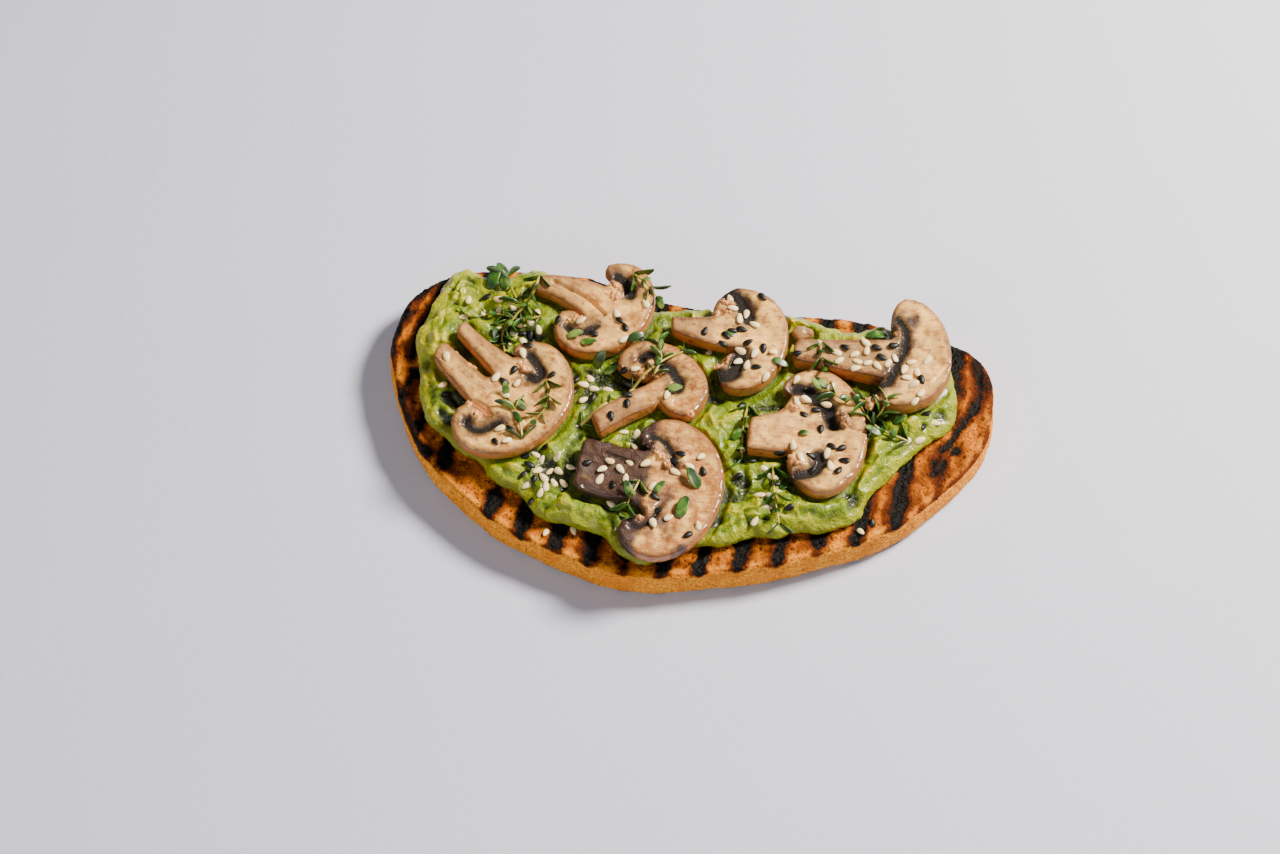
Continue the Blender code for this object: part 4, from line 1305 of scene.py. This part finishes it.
def dropped_seeds():
    """Places of the white and of the black seeds, none closer together than their room."""
    draw = np.random.default_rng(5)
    places = {"white": [], "black": []}
    for heap in HEAPS:
        spread = (heap.spread_x * HEAP_DENSITY, heap.spread_y * HEAP_DENSITY)
        for kind, count in (("white", heap.white), ("black", heap.black)):
            for _ in range(count):
                for _ in range(SEED_TRIES):
                    place = draw.normal((heap.x, heap.y), spread)
                    taken = places["white"] + places["black"]
                    if all(np.hypot(*(place - other)) > SEED_ROOM for other in taken):
                        places[kind].append(place)
                        break
    return places


def seed_finish(name, dark, light, glow):
    finish = Finish(
        name, Roughness=0.5, Specular_IOR_Level=0.35, Coat_Weight=0.05, Coat_Roughness=0.25,
        Subsurface_Weight=glow, Subsurface_Radius=(0.001, 0.0007, 0.0004), Subsurface_Scale=1.0,
    )
    base = finish.blend(finish.step(0.35, 0.65, finish.speckle(3.0, 2.0)), dark, light)
    finish.set(Base_Color=base)
    finish.bump(finish.speckle(0.35, 2.0), 0.08, 0.4)
    return finish.material


def leaf_finish(colours):
    finish = Finish(
        "thyme", Roughness=0.38, Coat_Weight=0.35, Coat_Roughness=0.25, Subsurface_Weight=0.1,
        Subsurface_Radius=(0.0006, 0.0012, 0.0003), Subsurface_Scale=1.0,
    )
    stem = finish.layer("stem")
    tone = finish.speckle(4.5, 3.0)
    base = finish.blend(finish.step(0.35, 0.62, tone), colours.leaf, colours.leaf_dark)
    base = finish.blend(finish.step(0.56, 0.66, finish.speckle(7.0, 2.0)), base, colours.leaf_pale)
    base = finish.blend(stem, base, colours.stem)
    finish.set(Base_Color=base)
    finish.bump(finish.speckle(0.5, 3.0), 0.1, 0.5)
    return finish.material


class Food:
    """Every dressed piece so far as one object, for seeds and herbs to come down on."""

    def __enter__(self):
        bm = bmesh.new()
        for obj in bpy.context.scene.collection.objects:
            if obj.type == "MESH" and obj.name.endswith(("_slice", "_mash", "_scrap")):
                bm.from_mesh(obj.data)
        mesh = bpy.data.meshes.new("food")
        bm.to_mesh(mesh)
        self.shape = BVHTree.FromBMesh(bm)
        bm.free()
        self.obj = new_object("food", mesh)
        return self

    def __exit__(self, *error):
        mesh = self.obj.data
        bpy.data.objects.remove(self.obj)
        bpy.data.meshes.remove(mesh)

    def top(self, x, y):
        hit = self.shape.ray_cast(Vector((x * MM, y * MM, DROP_HEIGHT)), DOWN)[0]
        return hit.z / MM


def pressed_down(mesh):
    """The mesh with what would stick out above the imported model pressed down."""
    points = points_of(mesh)
    ceiling = CAD_BOX[1][2] / MM
    over = np.maximum(points[:, 2] - ceiling, 0)
    points[:, 2] += MOST_OVER * np.tanh(over / GIVE) - over
    set_points(mesh, points)
    return mesh


def scatter_seeds(settings):
    draw = np.random.default_rng(8)
    graph = scatter_graph("Seeds", centred_seed)
    finishes = {
        "white": seed_finish("white_sesame", settings.white_dark, settings.white, 0.15),
        "black": seed_finish("black_sesame", settings.black, settings.black_light, 0.0),
    }
    with Food() as food:
        for kind, places in dropped_seeds().items():
            count = len(places)
            mesh = points_mesh(
                "sesame_" + kind, places, yaw=draw.uniform(0, math.tau, count),
                tip=draw.normal(0, 0.16, count), size=draw.uniform(0.92, 1.16, count),
            )
            inputs = {"Food": food.obj, "Material": finishes[kind], "Lift": SEED_LIFT}
            finished("sesame_" + kind, pressed_down(graph.run(mesh, **inputs)))


def sprig_graph():
    """Turns routes into stems with pairs of leaves, each pair crosswise to the last."""
    graph = GeometryGraph("Sprigs")
    material = graph.input("Material", "NodeSocketMaterial")
    apart = graph.input("Apart", "NodeSocketFloat")
    leaf = graph.input("Leaf", "NodeSocketFloat")
    thickness = graph.input("Thickness", "NodeSocketFloat")
    route = graph.add("GeometryNodeMeshToCurve", {}, {"Mesh": graph.source})
    progress = graph.add("GeometryNodeSplineParameter", {}, {})
    ring = graph.add(
        "GeometryNodeCurvePrimitiveCircle", {}, {"Resolution": 6, "Radius": 1.0}
    )
    stem = graph.add(
        "GeometryNodeCurveToMesh", {},
        {
            "Curve": graph.resampled(route, STEM_STEP), "Profile Curve": ring, "Fill Caps": True,
            "Scale": thickness * (1.0 - progress * STEM_TAPER),
        },
    )
    stem = graph.add(
        "GeometryNodeStoreNamedAttribute", {"data_type": "FLOAT", "domain": "POINT"},
        {"Geometry": stem, "Name": "stem", "Value": 1.0},
    )
    nodes = graph.add(
        "GeometryNodeCurveToPoints", {"mode": "EVALUATED"}, {"Curve": graph.resampled(route, apart)}
    )
    bearing = Wire(graph, nodes.socket.node.outputs["Rotation"])
    size = leaf * graph.random(0.7, 1.15, seed=4)
    swing = graph.random(-0.35, 0.35, seed=9)
    index = graph.add("GeometryNodeInputIndex", {}, {})
    facing = graph.then(bearing, graph.turn(UP, index * (math.pi / 2) + swing))
    tilted = graph.transformed(unit_leaf(graph), Rotation=(0.0, LEAF_TILT, 0.0))
    pair = graph.join(tilted, graph.transformed(tilted, Rotation=(0.0, 0.0, math.pi)))
    leaves = graph.add(
        "GeometryNodeInstanceOnPoints", {},
        {"Points": nodes, "Instance": pair, "Rotation": facing, "Scale": size},
    )
    graph.result(graph.join(stem, leaves), material)
    return graph


def route_mesh(sprig, food):
    """The line of a sprig's stem, laid over the highest food near it."""
    curve = along(sprig.route, 1.0)
    count, window = len(curve), 2 * SMOOTHING + 1
    heights = np.array([food.top(x, y) for x, y in curve])
    highest = [heights[max(0, i - SMOOTHING): i + SMOOTHING + 1].max() for i in range(count)]
    padded = np.pad(highest, SMOOTHING, mode="edge")
    smooth = np.convolve(padded, np.ones(window) / window, mode="valid")
    smooth += STEM_REST + sprig.lift * ARCH * np.sin(math.pi * np.linspace(0, 1, count))
    mesh = bpy.data.meshes.new("thyme_sprig")
    places = [(x * MM, y * MM, z * MM) for (x, y), z in zip(curve, smooth)]
    mesh.from_pydata(places, [(i, i + 1) for i in range(len(places) - 1)], [])
    return mesh


def joined(name, meshes):
    bm = bmesh.new()
    for mesh in meshes:
        bm.from_mesh(mesh)
    result = bpy.data.meshes.new(name)
    bm.to_mesh(result)
    bm.free()
    result.materials.append(meshes[0].materials[0])
    return result


def scatter_thyme(settings):
    material = leaf_finish(settings)
    graph = sprig_graph()
    draw = np.random.default_rng(3)
    with Food() as food:
        sprigs = [
            graph.run(
                route_mesh(sprig, food), Material=material, Apart=sprig.apart * MM,
                Leaf=sprig.leaf * LEAF_GROWTH * MM, Thickness=sprig.thickness * MM,
            )
            for sprig in SPRIGS
        ]
        finished("thyme_sprigs", pressed_down(joined("thyme_sprigs", sprigs)))
        x, y, bearing, long = np.array(LEAVES).T
        mesh = points_mesh(
            "thyme_leaves", list(zip(x, y)), yaw=np.radians(bearing),
            tip=draw.normal(-0.15, 0.15, len(x)), size=long * MM,
        )
        inputs = {"Food": food.obj, "Material": material, "Lift": LEAF_LIFT}
        leaves = scatter_graph("Leaves", unit_leaf).run(mesh, **inputs)
        finished("thyme_leaves", pressed_down(leaves))


# ------------------------------------------------------------------------------- stage


def floor_finish(colours):
    finish = Finish("floor_paper", Roughness=0.9)
    grain, broad = finish.speckle(2.2, 5.0), finish.speckle(60.0, 3.0)
    base = finish.blend(broad * 0.5, colours.floor, colours.floor_shade)
    finish.set(Base_Color=base)
    finish.bump(grain, 0.5, 0.25)
    return finish.material


def lamp(name, place, size, power, tint):
    """A round soft light that points at the toast."""
    light = bpy.data.lights.new(name, "AREA")
    light.shape = "DISK"
    light.size = size
    light.energy = power
    light.color = tint
    obj = bpy.data.objects.new(name, light)
    obj.location = place
    obj.rotation_euler = (-Vector(place)).to_track_quat("-Z", "Y").to_euler()
    bpy.context.scene.collection.objects.link(obj)


FLOOR_HALF = 3.0  # in metres, like the rest of the stage
WINDOW_PLACE, WINDOW_SIZE, WINDOW_TINT = (0.62, 0.42, 0.74), 0.3, (1.0, 0.9, 0.76)
FILL_PLACE, FILL_SIZE, FILL_TINT = (-0.35, -0.7, 0.6), 0.7, (1.0, 0.94, 0.86)


def make_stage(settings):
    mesh = bpy.data.meshes.new("floor")
    corners = [(x * FLOOR_HALF, y * FLOOR_HALF, 0) for x, y in ((-1, -1), (1, -1), (1, 1), (-1, 1))]
    mesh.from_pydata(corners, [], [(0, 1, 2, 3)])
    mesh.materials.append(floor_finish(settings))
    new_object("floor", mesh)

    world = bpy.data.worlds.new("Soft surround")
    world.use_nodes = True
    background = world.node_tree.nodes["Background"]
    background.inputs["Color"].default_value = settings.surround
    background.inputs["Strength"].default_value = settings.surround_strength
    bpy.context.scene.world = world
    lamp("Window", WINDOW_PLACE, WINDOW_SIZE, settings.window_power, WINDOW_TINT)
    lamp("Fill", FILL_PLACE, FILL_SIZE, settings.fill_power, FILL_TINT)

    data = bpy.data.cameras.new("View")
    data.lens = settings.lens
    data.sensor_width = 36.0
    camera = bpy.data.objects.new("View", data)
    place, aim = Vector(settings.camera_place), Vector(settings.camera_aim)
    camera.location = place
    camera.rotation_euler = (aim - place).to_track_quat("-Z", "Y").to_euler()
    bpy.context.scene.collection.objects.link(camera)
    bpy.context.scene.camera = camera


# ------------------------------------------------------------------- settings and add-on


def colour(name, *rgb):
    return FloatVectorProperty(
        name=name, description=name + " of the finish", subtype="COLOR", size=4,
        min=0.0, max=1.0, default=shade(*rgb),
    )


def length(name, description, default):
    return FloatProperty(
        name=name, description=description, default=default * MM, min=0.0, precision=5,
        unit="LENGTH", subtype="DISTANCE",
    )


class BreadSettings(bpy.types.PropertyGroup):
    face: length("Face", "Size of the bread's faces", 0.41)
    crumb_pale: colour("Pale crumb", 214, 128, 2)
    crumb_gold: colour("Golden crumb", 160, 78, 0)
    crumb_brown: colour("Brown crumb", 96, 40, 0)
    crust_pale: colour("Pale crust", 255, 174, 44)
    crust_dark: colour("Dark crust", 200, 112, 14)
    crust_brown: colour("Brown crust", 210, 112, 10)
    # Also used for the painted shade in the crumb's pores.
    scorch: colour("Scorched crumb", 90, 36, 2)
    # Also used for the painted shade in the crumb's pits and the painted glints on the char.
    burnt_pit_shade_and_glint: colour("Burnt crumb", 30, 12, 3)
    char: colour("Char", 2, 1, 1)


class AvocadoSettings(bpy.types.PropertyGroup):
    face: length("Face", "Size of the avocado's faces", 0.42)
    fresh: colour("Fresh green", 108, 130, 0)
    deep: colour("Deep green", 54, 74, 0)
    buttery: colour("Buttery yellow", 172, 168, 0)
    shadow: colour("Green in the hollows", 16, 28, 0)


class MushroomSettings(bpy.types.PropertyGroup):
    face: length("Face", "Size of the mushrooms' faces", 0.32)
    flesh: colour("Flesh", 255, 200, 110)
    translucent: colour("Translucent flesh", 148, 110, 68)
    cooked: colour("Cooked flesh", 156, 92, 38)
    seared: colour("Seared edge", 98, 48, 14)
    skin: colour("Skin", 176, 110, 54)
    scorched: colour("Scorched skin", 124, 70, 30)
    veil: colour("Veil", 226, 156, 92)
    bruise: colour("Bruise", 50, 29, 24)
    gill: colour("Gills", 12, 7, 5)
    gill_edge: colour("Gill edges", 34, 22, 17)


class SeedSettings(bpy.types.PropertyGroup):
    white: colour("White sesame", 250, 232, 188)
    white_dark: colour("Shaded white sesame", 238, 208, 146)
    black: colour("Black sesame", 3, 3, 4)
    black_light: colour("Black sesame's sheen", 8, 9, 12)


class ThymeSettings(bpy.types.PropertyGroup):
    leaf: colour("Leaf", 58, 100, 24)
    leaf_dark: colour("Dark leaf", 22, 54, 16)
    leaf_pale: colour("Pale leaf", 118, 144, 62)
    stem: colour("Stem", 156, 142, 50)


class StageSettings(bpy.types.PropertyGroup):
    floor: colour("Floor", 198, 204, 226)
    floor_shade: colour("Floor in shade", 190, 196, 218)
    surround: colour("Surround", 235, 238, 245)
    surround_strength: FloatProperty(
        name="Surround strength", description="Brightness of the surround", default=0.16, min=0.0
    )
    window_power: FloatProperty(
        name="Window power", description="Power of the main light", default=39.0, unit="POWER"
    )
    fill_power: FloatProperty(
        name="Fill power", description="Power of the weak light opposite", default=4.5, unit="POWER"
    )
    lens: FloatProperty(
        name="Lens", description="Focal length of the camera", default=66.9, unit="CAMERA"
    )
    camera_place: FloatVectorProperty(
        name="Camera place", description="Where the camera stands", unit="LENGTH",
        default=(0.0540, -0.3565, 0.639),
    )
    camera_aim: FloatVectorProperty(
        name="Camera aim", description="The point the camera looks at", unit="LENGTH",
        default=(-0.0132, 0.0063, 0.0),
    )


class ToastSettings(bpy.types.PropertyGroup):
    bread: PointerProperty(type=BreadSettings, name="Bread", description="The grilled slice")
    avocado: PointerProperty(type=AvocadoSettings, name="Avocado", description="The mash")
    mushrooms: PointerProperty(type=MushroomSettings, name="Mushrooms", description="The slices")
    seeds: PointerProperty(type=SeedSettings, name="Seeds", description="The sesame")
    thyme: PointerProperty(type=ThymeSettings, name="Thyme", description="Sprigs and leaves")
    stage: PointerProperty(type=StageSettings, name="Stage", description="Floor, light and camera")


class TOAST_OT_bread(bpy.types.Operator):
    """Makes the grilled slice of bread"""

    bl_idname = "toast.bread"
    bl_label = "Grilled Bread"

    def execute(self, context):
        dress_bread(context.scene.toast.bread)
        return {"FINISHED"}


class TOAST_OT_avocado(bpy.types.Operator):
    """Makes the crushed avocado"""

    bl_idname = "toast.avocado"
    bl_label = "Crushed Avocado"

    def execute(self, context):
        dress_avocado(context.scene.toast.avocado)
        return {"FINISHED"}


class TOAST_OT_mushrooms(bpy.types.Operator):
    """Makes the mushroom slices and the loose bit of stem"""

    bl_idname = "toast.mushrooms"
    bl_label = "Mushroom Slices"

    def execute(self, context):
        settings = context.scene.toast.mushrooms
        material = mushroom_finish(settings)
        for node, look in LOOKS.items():
            dress_slice(node, look, settings, material)
        dress_scrap(settings, material)
        return {"FINISHED"}


class TOAST_OT_seeds(bpy.types.Operator):
    """Drops the white and black sesame seeds on the food"""

    bl_idname = "toast.seeds"
    bl_label = "Sesame Seeds"

    def execute(self, context):
        scatter_seeds(context.scene.toast.seeds)
        return {"FINISHED"}


class TOAST_OT_thyme(bpy.types.Operator):
    """Lays the thyme sprigs and loose leaves on the food"""

    bl_idname = "toast.thyme"
    bl_label = "Thyme"

    def execute(self, context):
        scatter_thyme(context.scene.toast.thyme)
        return {"FINISHED"}


class TOAST_OT_stage(bpy.types.Operator):
    """Makes the floor, the lights and the camera"""

    bl_idname = "toast.stage"
    bl_label = "Floor, Lights and Camera"

    def execute(self, context):
        make_stage(context.scene.toast.stage)
        return {"FINISHED"}


class TOAST_PT_panel(bpy.types.Panel):
    """Lists the pieces of the toast"""

    bl_idname = "TOAST_PT_panel"
    bl_label = "Avocado Toast"
    bl_space_type = "VIEW_3D"
    bl_region_type = "UI"
    bl_category = "Toast"

    def draw(self, context):
        settings = context.scene.toast
        for operator, group in PANEL_ROWS:
            box = self.layout.box()
            box.operator(operator.bl_idname)
            for name in getattr(settings, group).__annotations__:
                box.prop(getattr(settings, group), name)


PANEL_ROWS = (
    (TOAST_OT_bread, "bread"),
    (TOAST_OT_avocado, "avocado"),
    (TOAST_OT_mushrooms, "mushrooms"),
    (TOAST_OT_seeds, "seeds"),
    (TOAST_OT_thyme, "thyme"),
    (TOAST_OT_stage, "stage"),
)
CLASSES = (
    BreadSettings,
    AvocadoSettings,
    MushroomSettings,
    SeedSettings,
    ThymeSettings,
    StageSettings,
    ToastSettings,
    TOAST_OT_bread,
    TOAST_OT_avocado,
    TOAST_OT_mushrooms,
    TOAST_OT_seeds,
    TOAST_OT_thyme,
    TOAST_OT_stage,
    TOAST_PT_panel,
)


def register():
    for cls in CLASSES:
        bpy.utils.register_class(cls)
    bpy.types.Scene.toast = PointerProperty(type=ToastSettings)


def unregister():
    del bpy.types.Scene.toast
    for cls in reversed(CLASSES):
        bpy.utils.unregister_class(cls)


def main():
    register()
    bpy.ops.toast.bread()
    bpy.ops.toast.avocado()
    bpy.ops.toast.mushrooms()
    bpy.ops.toast.seeds()
    bpy.ops.toast.thyme()
    bpy.ops.toast.stage()


if __name__ == "__main__":
    main()
